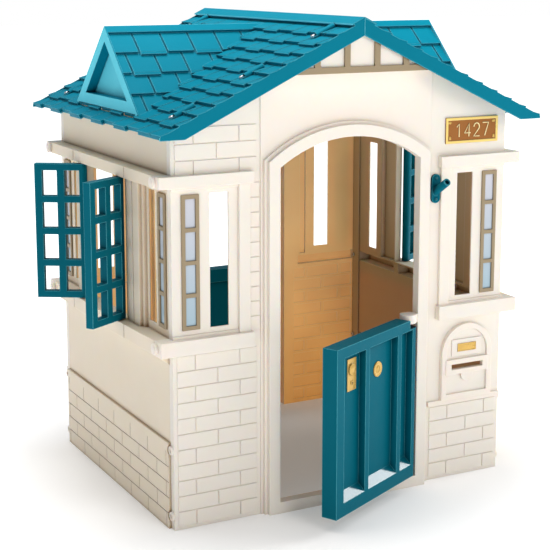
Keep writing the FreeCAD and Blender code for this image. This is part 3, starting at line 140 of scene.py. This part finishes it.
def make_skin_group():
    """Surface of a moulded plastic part: cloudy tone, painted highlight on edges, painted shade in
    crevices, fine grain and ripple.
    """
    group, entry, leave = new_group(
        "moulded skin",
        [("Colour", "Color", (0.8, 0.8, 0.8, 1)), ("Edge colour", "Color", (1, 1, 1, 1)),
         ("Edge amount", "Float", 0.5), ("Edge width", "Float", 0.002), ("Tone", "Float", 0.05),
         ("Crevice colour", "Color", (0.2, 0.2, 0.2, 1)), ("Crevice amount", "Float", 0.5),
         ("Crevice reach", "Float", 0.008), ("Roughness", "Float", 0.4),
         ("Grain", "Float", 0.0002)],
        [("Colour", "Color"), ("Roughness", "Float"), ("Normal", "Vector")])
    place = where(group)
    cloud = noise(group, place, scale=5.0, detail=4.0)
    tone = math_node(group, "MULTIPLY_ADD", math_node(group, "SUBTRACT", cloud, 0.5),
                     entry["Tone"], 1.0)
    toned = group.nodes.new("ShaderNodeVectorMath")
    toned.operation = "SCALE"
    group.links.new(entry["Colour"], toned.inputs[0])
    group.links.new(tone, toned.inputs["Scale"])
    rounded = group.nodes.new("ShaderNodeBevel")
    rounded.samples = 6
    group.links.new(entry["Edge width"], rounded.inputs["Radius"])
    flat = group.nodes.new("ShaderNodeNewGeometry").outputs["Normal"]
    # painted highlight: the edge colour is mixed in where the rounded normal turns away from the
    # flat one
    edge = ramp_between(group, dot_product(group, rounded.outputs["Normal"], flat), 0.995, 0.82)
    edge_highlight = math_node(group, "MULTIPLY", edge, entry["Edge amount"], clamp=True)
    # painted shade: the crevice colour is multiplied in where ambient occlusion finds the surface
    # closed in
    closed_in = group.nodes.new("ShaderNodeAmbientOcclusion")
    closed_in.samples = 6
    group.links.new(entry["Crevice reach"], closed_in.inputs["Distance"])
    crevice = ramp_between(group, closed_in.outputs["AO"], 0.85, 0.35)
    crevice_shade = math_node(group, "MULTIPLY", crevice, entry["Crevice amount"], clamp=True)
    edged = mix_colour(group, edge_highlight, toned.outputs[0], entry["Edge colour"])
    shaded = mix_colour(group, crevice_shade, edged, entry["Crevice colour"], "MULTIPLY")
    group.links.new(shaded, leave["Colour"])
    smear = math_node(group, "SUBTRACT", noise(group, place, scale=22.0, detail=5.0), 0.5)
    group.links.new(math_node(group, "MULTIPLY_ADD", smear, 0.22, entry["Roughness"]),
                    leave["Roughness"])
    grain = noise(group, place, scale=1400.0, detail=2.0)
    ripple = noise(group, place, scale=26.0, detail=1.0)
    height = math_node(group, "ADD", grain, math_node(group, "MULTIPLY", ripple, 4.0))
    bump = group.nodes.new("ShaderNodeBump")
    bump.inputs["Strength"].default_value = 0.6
    group.links.new(entry["Grain"], bump.inputs["Distance"])
    group.links.new(height, bump.inputs["Height"])
    group.links.new(rounded.outputs["Normal"], bump.inputs["Normal"])
    group.links.new(bump.outputs["Normal"], leave["Normal"])
    return group


def make_span_group():
    """Mask that rises from 0 to 1 between two levels of one position axis."""
    group, entry, leave = new_group(
        "span along axis",
        [("Axis", "Vector", (0, 0, 1)), ("From", "Float", 0.0), ("To", "Float", 1.0)],
        [("Mask", "Float")])
    along = dot_product(group, where(group), entry["Axis"])
    group.links.new(ramp_between(group, along, entry["From"], entry["To"]), leave["Mask"])
    return group


SKIN = make_skin_group()
SPAN = make_span_group()


def use_group(tree, group, **values):
    node = tree.nodes.new("ShaderNodeGroup")
    node.node_tree = group
    for label, source in values.items():
        feed(tree, node.inputs[label.replace("_", " ")], source)
    return node.outputs


def blank_material(name):
    """Material with a lone Principled shader; returns it, its tree and the shader's sockets."""
    material = bpy.data.materials.new(name)
    material.use_nodes = True
    return material, material.node_tree, material.node_tree.nodes["Principled BSDF"].inputs


def skinned(name, colour, edge_colour, edge_amount=0.5, edge_width=0.002, tone=0.1, roughness=0.4,
            grain=0.0002, crevice_colour=(0.2, 0.2, 0.2, 1), crevice_amount=0.5,
            crevice_reach=0.008):
    """Moulded plastic material; colour is a value, or a function that makes its socket."""
    material, tree, shader = blank_material(name)
    base = colour(tree) if callable(colour) else colour
    # edge colour and amount set the painted edge highlight; crevice colour, amount and reach set
    # the painted shade in hollows
    skin = use_group(tree, SKIN, Colour=base, Edge_colour=edge_colour, Edge_amount=edge_amount,
                     Edge_width=edge_width, Tone=tone, Roughness=roughness, Grain=grain,
                     Crevice_colour=crevice_colour, Crevice_amount=crevice_amount,
                     Crevice_reach=crevice_reach)
    tree.links.new(skin["Colour"], shader["Base Color"])
    tree.links.new(skin["Roughness"], shader["Roughness"])
    tree.links.new(skin["Normal"], shader["Normal"])
    return material, shader


# ---------------------------------------------------------------- finishes

GABLE_BOX = 62 * MM            # gable box in front of an end wall
LEDGE_BOSS = 47.5 * MM         # ledge ends and their buttons beyond a side wall
PLAQUE_DEPTH = 2 * MM          # plaque's field behind its rim
SKIN_START = 2.2 * MM          # the painted room shade fades in between these two depths behind a wall's outer face
SKIN_END = 3.4 * MM            # behind a wall's outer face


def facing_mask(tree, axis, low, high):
    """Mask of the faces whose own direction lies close to an axis."""
    own = tree.nodes.new("ShaderNodeTexCoord").outputs["Normal"]
    return ramp_between(tree, dot_product(tree, own, axis), low, high)


def between_faces(tree, axis, low, high):
    """Mask of what lies between two wall faces, from behind the middle of their skin."""
    mask = 1.0
    for turn, face in ((1, high), (-1, -low)):
        past = use_group(tree, SPAN, Axis=[turn * part for part in axis], From=face - SKIN_END,
                         To=face - SKIN_START)["Mask"]
        mask = math_node(tree, "MULTIPLY", mask, math_node(tree, "SUBTRACT", 1.0, past))
    return mask


def inside_room(tree, room_side):
    """Mask of a wall panel's faces that look into the room, or lie behind the walls' skin."""
    low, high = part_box("front_panel")
    across = between_faces(tree, (1, 0, 0), low.x + LEDGE_BOSS, high.x - LEDGE_BOSS)
    along = between_faces(tree, (0, 1, 0), low.y + GABLE_BOX,
                          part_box("back_panel")[1].y - GABLE_BOX)
    looking_in = math_node(tree, "MULTIPLY", facing_mask(tree, room_side, 0.3, 0.6),
                           across if room_side[1] else along)
    return math_node(tree, "MAXIMUM", math_node(tree, "MULTIPLY", across, along), looking_in)


def cream_plastic(name, room_side, crevice_amount, colour=(238, 229, 219), glow=0.0,
                  room_shade_colour=(228, 190, 140)):
    """Cream wall plastic with painted shade, darker and warmer, on the room side; glow is painted
    light, an emission standing in for daylight through the skin.
    """
    def room_shaded(tree):
        # painted shade: faces on the room side are mixed to the darker, warmer room shade colour
        return mix_colour(tree, inside_room(tree, room_side), srgb(*colour), srgb(*room_shade_colour))

    # the pale edge colour is a painted highlight, the brown crevice colour painted shade
    material, shader = skinned(name, room_shaded, srgb(255, 249, 240), edge_width=0.0025, tone=0.04,
                               roughness=0.5, grain=0.00025, crevice_colour=srgb(176, 150, 116),
                               crevice_amount=crevice_amount, crevice_reach=0.012)
    shader["Subsurface Weight"].default_value = 0.35
    shader["Subsurface Scale"].default_value = 0.01
    shader["Subsurface Radius"].default_value = (1.0, 0.6, 0.3)
    shader["Specular IOR Level"].default_value = 0.25
    if glow:
        tree = material.node_tree
        # painted light: emission on the room side, warmer low down and uneven, stands in for
        # daylight through the skin
        up = use_group(tree, SPAN, From=0.02, To=0.6)["Mask"]
        light = mix_colour(tree, up, srgb(226, 158, 66), srgb(228, 190, 128))
        uneven = ramp_between(tree, noise(tree, where(tree), 3.0), 0.0, 0.7)
        shine = math_node(tree, "MULTIPLY", inside_room(tree, room_side), uneven)
        tree.links.new(mix_colour(tree, shine, (0, 0, 0, 1), light), shader["Emission Color"])
        shader["Emission Strength"].default_value = glow
    return material


def roof_plastic(name, dormer_light):
    """Teal roof plastic with painted light: lighter on the slopes and towards the ridge, palest on
    the upright dormer faces.
    """
    low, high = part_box("roof_left")

    def painted_light_teal(tree):
        # painted light: slopes lighter towards the ridge, faces that don't look up darker, upright
        # faces paler by the dormer light amount
        up = use_group(tree, SPAN, From=low.z, To=high.z)["Mask"]
        slope = mix_colour(tree, up, srgb(0, 122, 146), srgb(6, 142, 168))
        upwards = facing_mask(tree, (0, 0, 1), 0.3, 0.6)
        teal = mix_colour(tree, upwards, srgb(0, 116, 139), slope)
        upright = math_node(tree, "MAXIMUM", facing_mask(tree, (1, 0, 0), 0.95, 0.99),
                            facing_mask(tree, (-1, 0, 0), 0.95, 0.99))
        return mix_colour(tree, math_node(tree, "MULTIPLY", upright, dormer_light), teal,
                          srgb(114, 234, 255))

    # the pale edge colour is a painted highlight, the dark teal crevice colour painted shade
    material, shader = skinned(name, painted_light_teal, srgb(112, 208, 224), edge_amount=0.8,
                               edge_width=0.0028, tone=0.14, roughness=0.5, grain=0.0003,
                               crevice_colour=srgb(0, 92, 116), crevice_amount=0.7,
                               crevice_reach=0.007)
    shader["Specular IOR Level"].default_value = 0.05
    return material


def door_plastic():
    """Teal plastic of the doors and shutters; the sloping feet of the door panels are polished."""
    # the pale teal edge colour is a painted highlight, the dark teal crevice colour painted shade
    material, shader = skinned("door_plastic", srgb(0, 98, 116), srgb(104, 200, 214),
                               edge_amount=0.85, edge_width=0.003, tone=0.12, roughness=0.42,
                               crevice_colour=srgb(0, 66, 88), crevice_amount=0.75,
                               crevice_reach=0.025)
    shader["Specular IOR Level"].default_value = 0.04
    shader["Coat Roughness"].default_value = 0.12
    tree = material.node_tree
    # the feet slope at 45 degrees, so their upward share lies between the two masks
    foot = math_node(tree, "SUBTRACT", facing_mask(tree, (0, 0, 1), 0.6, 0.68),
                     facing_mask(tree, (0, 0, 1), 0.74, 0.82), clamp=True)
    tree.links.new(foot, shader["Coat Weight"])
    return material


def tan_plastic():
    # the paler edge colour is a painted highlight; the default crevice colour adds painted shade
    return skinned("tan_plastic", srgb(150, 132, 102), srgb(190, 174, 144), edge_width=0.0015,
                   tone=0.12, roughness=0.45, grain=0.0001)[0]


def printed_pane():
    """Glossy printed film: lavender at the top of a window, light blue at its foot, with a painted
    glint and painted edge highlight.
    """
    low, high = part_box("front_window_panes")

    def sky(tree):
        up = use_group(tree, SPAN, From=low.z, To=high.z)["Mask"]
        # painted highlight: a pale diagonal glint across the film
        glint = use_group(tree, SPAN, Axis=(0.8, 0.8, 1.0), From=0.9, To=1.5)["Mask"]
        fade = mix_colour(tree, up, srgb(160, 186, 200), srgb(200, 200, 210))
        return mix_colour(tree, math_node(tree, "MULTIPLY", glint, 0.25), fade,
                          srgb(240, 244, 250))

    return skinned("printed_pane", sky, srgb(230, 236, 244), edge_amount=0.2, edge_width=0.001,
                   tone=0.06, roughness=0.22, grain=0.00003)[0]


def plaque_brass(rim_face):
    """Gold-coloured print, darker where the plaque is recessed behind its rim."""
    def shade(tree):
        proud = use_group(tree, SPAN, Axis=(0, -1, 0), From=-rim_face - 0.8 * PLAQUE_DEPTH,
                          To=-rim_face - 0.3 * PLAQUE_DEPTH)["Mask"]
        return mix_colour(tree, proud, srgb(152, 92, 24), srgb(240, 208, 118))

    # the pale edge colour is a painted highlight
    material, shader = skinned("plaque_brass", shade, srgb(250, 230, 160), edge_amount=0.7,
                               edge_width=0.0012, tone=0.3, roughness=0.3, grain=0.00005)
    shader["Metallic"].default_value = 0.25
    return material


def plain_brass(name, colour, metallic):
    # the pale edge colour is a painted highlight
    material, shader = skinned(name, srgb(*colour), srgb(250, 230, 170), edge_amount=0.7,
                               edge_width=0.001, tone=0.3, roughness=0.3, grain=0.00005)
    shader["Metallic"].default_value = metallic
    return material


def zinc():
    # the white edge colour is a painted highlight
    material, shader = skinned("zinc", srgb(205, 208, 212), srgb(250, 250, 250),
                               edge_width=0.0006, tone=0.2, roughness=0.3, grain=0.00005)
    shader["Metallic"].default_value = 0.85
    return material


def dress(material, names):
    for name in names:
        nodes[name].data.materials.clear()
        nodes[name].data.materials.append(material)


def tighten(name, width, segments):
    """Join the node's split faces and round its edges."""
    weld = nodes[name].modifiers.new("join", "WELD")
    weld.merge_threshold = 0.00002
    bevel = nodes[name].modifiers.new("edges", "BEVEL")
    bevel.width = width
    bevel.segments = segments
    bevel.limit_method = "ANGLE"
    bevel.angle_limit = math.radians(35)


SHUTTERS = [name for name in nodes if name.endswith("_shutter")]
DOORS = ["front_door", "back_door"]
TRUSSES = ["front_gable_truss", "back_gable_truss"]
WINDOW_FRAMES = [name for name in nodes if name.endswith("_frames")]

dress(cream_plastic("cream_front", (0, 1, 0), 0.1), ["front_panel"])
dress(cream_plastic("cream_back", (0, -1, 0), 0.3, glow=0.5), ["back_panel"])
# one cream plastic all round: the left panel's darker, warmer cream is painted shade, and so are
# the side panels' strong crevice darkening and the right panel's darker room side
dress(cream_plastic("cream_left", (1, 0, 0), 0.95, (230, 217, 197)), ["left_panel"])
dress(cream_plastic("cream_right", (-1, 0, 0), 0.95, (240, 229, 209),
                    room_shade_colour=(196, 172, 134)), ["right_panel"])
# the left roof's dormer fronts get more painted light than the right roof's
dress(roof_plastic("roof_plastic_left", 0.7), ["roof_left"])
dress(roof_plastic("roof_plastic_right", 0.3), ["roof_right"])
door_teal = door_plastic()
dress(door_teal, DOORS + SHUTTERS + ["flag_holder", "flag_holder_screws"])
dress(tan_plastic(), TRUSSES + WINDOW_FRAMES)
dress(printed_pane(), [name for name in nodes if name.endswith("_panes")])
plaque_low, plaque_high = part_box("house_number_plaque")
dress(plaque_brass(plaque_low.y), ["house_number_plaque"])
brass = plain_brass("plain_brass", (205, 165, 80), 0.3)
dress(brass, ["house_number_digits", "house_number_rivets", "mailbox_label",
              "front_door_lock_plate", "front_door_roundel"])
numeral_brass = plain_brass("numeral_brass", (255, 236, 176), 0.05)
steel = zinc()
dress(steel, ["roof_screws", "corner_screws"])


# ---------------------------------------------------------------- small fittings

def shadow_material():
    material, tree, shader = blank_material("recess_shadow")
    tree.links.new(mix_colour(tree, noise(tree, where(tree), 400.0), (0.008, 0.006, 0.004, 1),
                              (0.02, 0.015, 0.01, 1)), shader["Base Color"])
    shader["Roughness"].default_value = 0.7
    return material


SHADOW = shadow_material()


def new_piece(name, form, body, materials):
    """Finish a bmesh as a piece that rides on a body."""
    mesh = bpy.data.meshes.new(name)
    form.to_mesh(mesh)
    form.free()
    for material in materials:
        mesh.materials.append(material)
    piece = bpy.data.objects.new(name, mesh)
    scene.collection.objects.link(piece)
    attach(piece, body)


def turned(form, profile, where_to, steps=28, material=0):
    """Surface of revolution about local Z from (radius, height) points."""
    rings = []
    for radius, height in profile:
        count = steps if radius > 0 else 1
        ring = []
        for step in range(count):
            angle = 2 * math.pi * step / count
            at = Vector((radius * math.cos(angle), radius * math.sin(angle), height))
            ring.append(form.verts.new(where_to @ at))
        rings.append(ring)
    for inner, outer in zip(rings, rings[1:]):
        for step in range(steps):
            after = (step + 1) % steps
            corners = []
            for ring, index in ((inner, step), (inner, after), (outer, after), (outer, step)):
                corner = ring[index % len(ring)]
                if corner not in corners:
                    corners.append(corner)
            if len(corners) > 2:
                face = form.faces.new(corners)
                face.smooth = True
                face.material_index = material


def boxed(form, low, high, where_to, material=0):
    """Box between two corners in a local frame."""
    made = bmesh.ops.create_cube(form, size=1.0)["verts"]
    centre = (Vector(low) + Vector(high)) / 2
    size = Vector(high) - Vector(low)
    for corner in made:
        spread = Vector((corner.co.x * size.x, corner.co.y * size.y, corner.co.z * size.z))
        corner.co = where_to @ (centre + spread)
    for face in {face for corner in made for face in corner.link_faces}:
        face.material_index = material


def facing_along(centre, axis):
    return Matrix.Translation(centre) @ axis.to_track_quat("Z", "Y").to_matrix().to_4x4()


def screw_tops(name):
    """Frame at the middle of each screw head of a node, Z pointing out of the head."""
    form = bmesh.new()
    form.from_mesh(nodes[name].data)
    bmesh.ops.remove_doubles(form, verts=form.verts, dist=0.00002)
    left = set(form.verts)
    tops = []
    while left:
        island = [left.pop()]
        for vert in island:
            for edge in vert.link_edges:
                other = edge.other_vert(vert)
                if other in left:
                    left.discard(other)
                    island.append(other)
        spots = np.array([vert.co for vert in island])
        middle = spots.mean(0)
        axis = np.linalg.svd(spots - middle)[2][0]
        along = (spots - middle) @ axis
        off = np.linalg.norm(spots - middle - np.outer(along, axis), axis=1)
        if along[off > off.max() * 0.95].mean() < 0:
            axis, along = -axis, -along
        end = spots[along > along.max() - 0.0002].mean(0)
        tops.append(facing_along(Vector(end), Vector(axis)))
    form.free()
    return sorted(tops, key=lambda top: tuple(top.translation))


def dome_screws(name, radius, materials):
    """Domed heads with a cross recess over the plain CAD heads of a screw node."""
    form = bmesh.new()
    rise = radius * 0.4
    for top in screw_tops(name):
        turned(form, [(radius, -0.3 * MM), (radius, 0.2 * MM), (radius * 0.86, rise * 0.62),
                      (radius * 0.55, rise * 0.92), (0, rise)], top)
        arm = radius * 0.55
        slot = radius * 0.12
        # the cross recess is drawn as dark boxes in the shadow material: painted shade
        boxed(form, (-arm, -slot, rise * 0.5), (arm, slot, rise * 1.02), top, 1)
        boxed(form, (-slot, -arm, rise * 0.5), (slot, arm, rise * 1.02), top, 1)
    new_piece(f"{name}_domes", form, "house", materials)


def leaf_frame():
    """Frame of the front half door as it hangs: X towards the hinge, -Y outwards."""
    joint = next(j for j in frame["joints"] if j["name"] == "front_door_hinge")
    open_by = math.radians(-joint["range_deg"][0])
    x, y, z = joint["pos_m"]
    return Matrix.Translation((x, y, 0)) @ Matrix.Rotation(open_by, 4, "Z")


def box_in(name, place):
    """Lowest and highest corner of a node in a local frame."""
    spots = np.array([place.inverted() @ vert.co for vert in nodes[name].data.vertices])
    return Vector(spots.min(0)), Vector(spots.max(0))


def rim_of(form, low, high, width, face, height, place):
    """Raised frame round a rectangle on a face that looks towards -Y."""
    for x0, x1, z0, z1 in ((low.x, high.x, low.z, low.z + width),
                           (low.x, high.x, high.z - width, high.z),
                           (low.x, low.x + width, low.z + width, high.z - width),
                           (high.x - width, high.x, low.z + width, high.z - width)):
        boxed(form, (x0, face - height, z0), (x1, face + 0.3 * MM, z1), place)


def outward(place, x, face, z):
    """Frame on a face that looks towards -Y, Z pointing out of it."""
    return place @ Matrix.Translation((x, face, z)) @ Matrix.Rotation(math.radians(90), 4, "X")


LOCK_PLATE = 1.5 * MM          # thickness of the lock plate


def make_lock_details():
    hang = leaf_frame()
    low, high = box_in("front_door_lock_plate", hang)
    middle = (low.x + high.x) / 2
    height = high.z - low.z
    plate = high.y - LOCK_PLATE
    form = bmesh.new()
    rim_of(form, low, high, 2 * MM, plate, 0.8 * MM, hang)
    knob = outward(hang, middle, low.y, low.z + height * 0.66)
    turned(form, [(15 * MM, -1 * MM), (15 * MM, 0.4 * MM), (13.6 * MM, 1.4 * MM),
                  (12.4 * MM, 0.9 * MM), (11 * MM, 1.6 * MM), (6 * MM, 2.8 * MM), (0, 3.2 * MM)],
           knob)
    eye = outward(hang, middle, plate - 1.1 * MM, low.z + height * 0.24)
    turned(form, [(5.5 * MM, -1 * MM), (5.5 * MM, 0.2 * MM), (4.4 * MM, 0.5 * MM),
                  (0, 0.5 * MM)], eye)
    # the keyhole is a dark disc and slot in the shadow material: painted shade
    turned(form, [(2.2 * MM, 0), (2.2 * MM, 0.8 * MM), (0, 0.8 * MM)], eye, 16, 1)
    boxed(form, (-0.9 * MM, -5.5 * MM, 0), (0.9 * MM, -1 * MM, 0.8 * MM), eye, 1)
    new_piece("front_door_lock_details", form, "front_door_leaf", [brass, SHADOW])


def make_roundel_details():
    hang = leaf_frame()
    low, high = box_in("front_door_roundel", hang)
    radius = (high.x - low.x) / 2
    face = outward(hang, (low.x + high.x) / 2, low.y, (low.z + high.z) / 2)
    form = bmesh.new()
    turned(form, [(radius, -1 * MM), (radius, 0.6 * MM), (radius - 1.4 * MM, 1.6 * MM),
                  (radius - 3 * MM, 0.5 * MM), (radius * 0.45, 0.3 * MM),
                  (radius * 0.4, 1.2 * MM), (0, 2.2 * MM)], face, 40)
    new_piece("front_door_roundel_details", form, "front_door_leaf", [brass])


def make_label_details():
    low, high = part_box("mailbox_label")
    here = Matrix.Identity(4)
    form = bmesh.new()
    rim_of(form, low, high, 1.6 * MM, low.y, 0.8 * MM, here)
    for x in (low.x + 6 * MM, high.x - 6 * MM):
        turned(form, [(2.2 * MM, -0.3 * MM), (1.6 * MM, 0.8 * MM), (0, 1.1 * MM)],
               outward(here, x, low.y, (low.z + high.z) / 2), 14)
    boxed(form, (low.x + 14 * MM, low.y - 0.5 * MM, low.z + 6 * MM),
          (high.x - 14 * MM, low.y + 0.2 * MM, high.z - 6 * MM), here)
    new_piece("mailbox_label_details", form, "house", [brass])


def make_rivet_domes():
    form = bmesh.new()
    for top in screw_tops("house_number_rivets"):
        outside = facing_along(top.translation, Vector((0, -1, 0)))
        turned(form, [(3.6 * MM, -0.8 * MM), (3.4 * MM, 0.3 * MM), (2.2 * MM, 1.2 * MM),
                      (0, 1.6 * MM)], outside, 20)
    new_piece("house_number_rivet_domes", form, "house", [brass])


NUMERALS = {
    "1": [(0.2, 0.76), (0.62, 1.0), (0.62, 0.0)],
    "4": [(0.74, 0.0), (0.74, 1.0), (0.0, 0.28), (1.0, 0.28)],
    "7": [(0.0, 1.0), (1.0, 1.0), (0.36, 0.0)],
    "2": [(0.5 - 0.46 * math.cos(math.radians(turn)), 0.72 + 0.28 * math.sin(math.radians(turn)))
          for turn in range(0, 211, 15)] + [(0.02, 0.0), (1.0, 0.0)],
}


def make_numerals():
    """Rounded raised strokes, centred on the plaque, in place of the plain CAD numerals."""
    low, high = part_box("house_number_digits")
    number = "1427"
    width, pitch, thick = 22 * MM, 29 * MM, 1.6 * MM
    centre = (plaque_low.x + plaque_high.x) / 2
    left = centre - (pitch * (len(number) - 1) + width) / 2
    curve = bpy.data.curves.new("house_number_numerals", "CURVE")
    curve.dimensions = "3D"
    curve.bevel_depth = thick
    curve.bevel_resolution = 3
    curve.use_fill_caps = True
    curve.materials.append(numeral_brass)
    for place, digit in enumerate(number):
        points = NUMERALS[digit]
        stroke = curve.splines.new("POLY")
        stroke.points.add(len(points) - 1)
        for point, (across, up) in zip(stroke.points, points):
            point.co = (left + place * pitch + thick + across * (width - 2 * thick),
                        high.y - 0.4 * thick,
                        low.z + thick + up * (high.z - low.z - 2 * thick), 1)
    piece = bpy.data.objects.new("house_number_numerals", curve)
    scene.collection.objects.link(piece)
    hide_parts("house_number_digits")
    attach(piece, "house")


make_lock_details()
make_roundel_details()
make_label_details()
make_rivet_domes()
make_numerals()
dome_screws("roof_screws", 6 * MM, [steel, SHADOW])
dome_screws("corner_screws", 6 * MM, [steel, SHADOW])
dome_screws("flag_holder_screws", 4.5 * MM, [door_teal, SHADOW])

for names, width, segments in ((DOORS, 3 * MM, 3), (SHUTTERS, 1.8 * MM, 2),
                               (TRUSSES + ["house_number_plaque", "flag_holder"], 0.9 * MM, 2),
                               (WINDOW_FRAMES, 1.2 * MM, 2)):
    for name in names:
        tighten(name, width, segments)


# ---------------------------------------------------------------- studio

def make_floor():
    mesh = bpy.data.meshes.new("floor")
    form = bmesh.new()
    bmesh.ops.create_grid(form, x_segments=1, y_segments=1, size=30)
    form.to_mesh(mesh)
    form.free()
    floor = bpy.data.objects.new("floor", mesh)
    scene.collection.objects.link(floor)
    material, tree, shader = blank_material("floor_white")
    place = where(tree)
    cloud = noise(tree, place, 2.0)
    tree.links.new(mix_colour(tree, cloud, (0.86, 0.86, 0.86, 1), (0.9, 0.9, 0.9, 1)),
                   shader["Base Color"])
    shader["Roughness"].default_value = 0.8
    shader["Specular IOR Level"].default_value = 0.1
    away = tree.nodes.new("ShaderNodeVectorMath")
    away.operation = "LENGTH"
    tree.links.new(place, away.inputs[0])
    sweep = ramp_between(tree, away.outputs["Value"], 0.55, 1.7)
    tree.links.new(mix_colour(tree, sweep, (0.13, 0.13, 0.13, 1), (1, 1, 1, 1)),
                   shader["Emission Color"])
    shader["Emission Strength"].default_value = 1.0
    mesh.materials.append(material)


def soft_box(name, at, aim, size, power, colour=(1, 1, 1)):
    lamp = bpy.data.lights.new(name, "AREA")
    lamp.shape = "SQUARE"
    lamp.size = size
    lamp.energy = power
    lamp.color = colour
    box = bpy.data.objects.new(name, lamp)
    box.location = at
    box.rotation_euler = (Vector(aim) - Vector(at)).to_track_quat("-Z", "Y").to_euler()
    scene.collection.objects.link(box)


def light_studio():
    """White surroundings for the camera, dimmer ones as fill, a broad overhead light, a front
    light and a low one from the right."""
    world = bpy.data.worlds.new("studio")
    scene.world = world
    world.use_nodes = True
    tree = world.node_tree
    seen = tree.nodes.new("ShaderNodeLightPath").outputs["Is Camera Ray"]
    background = tree.nodes["Background"].inputs
    tree.links.new(mix_colour(tree, seen, (0.3, 0.3, 0.3, 1), (1, 1, 1, 1)),
                   background["Color"])
    background["Strength"].default_value = 1.0
    soft_box("top", at=(-0.5, 0.3, 4.4), aim=(0, 0, 0.8), size=2.6, power=132)
    soft_box("front", at=(0.8, -5.0, 2.6), aim=(0, 0, 0.6), size=2.4, power=68,
             colour=(1, 0.99, 0.97))
    soft_box("right", at=(3.6, -0.4, 2.05), aim=(0, -0.4, 0.2), size=1.5, power=64)
    scene.view_settings.view_transform = "Standard"


def place_camera():
    camera = bpy.data.cameras.new("camera")
    camera.lens = 90.7
    camera.sensor_width = 36
    camera.shift_y = -0.109
    camera.clip_end = 100
    stand = bpy.data.objects.new("camera", camera)
    stand.location = (-1.7814, -3.3123, 1.3697)
    stand.rotation_euler = (math.radians(79.967), 0, math.radians(-27.767))
    scene.collection.objects.link(stand)
    scene.camera = stand


make_floor()
light_studio()
place_camera()
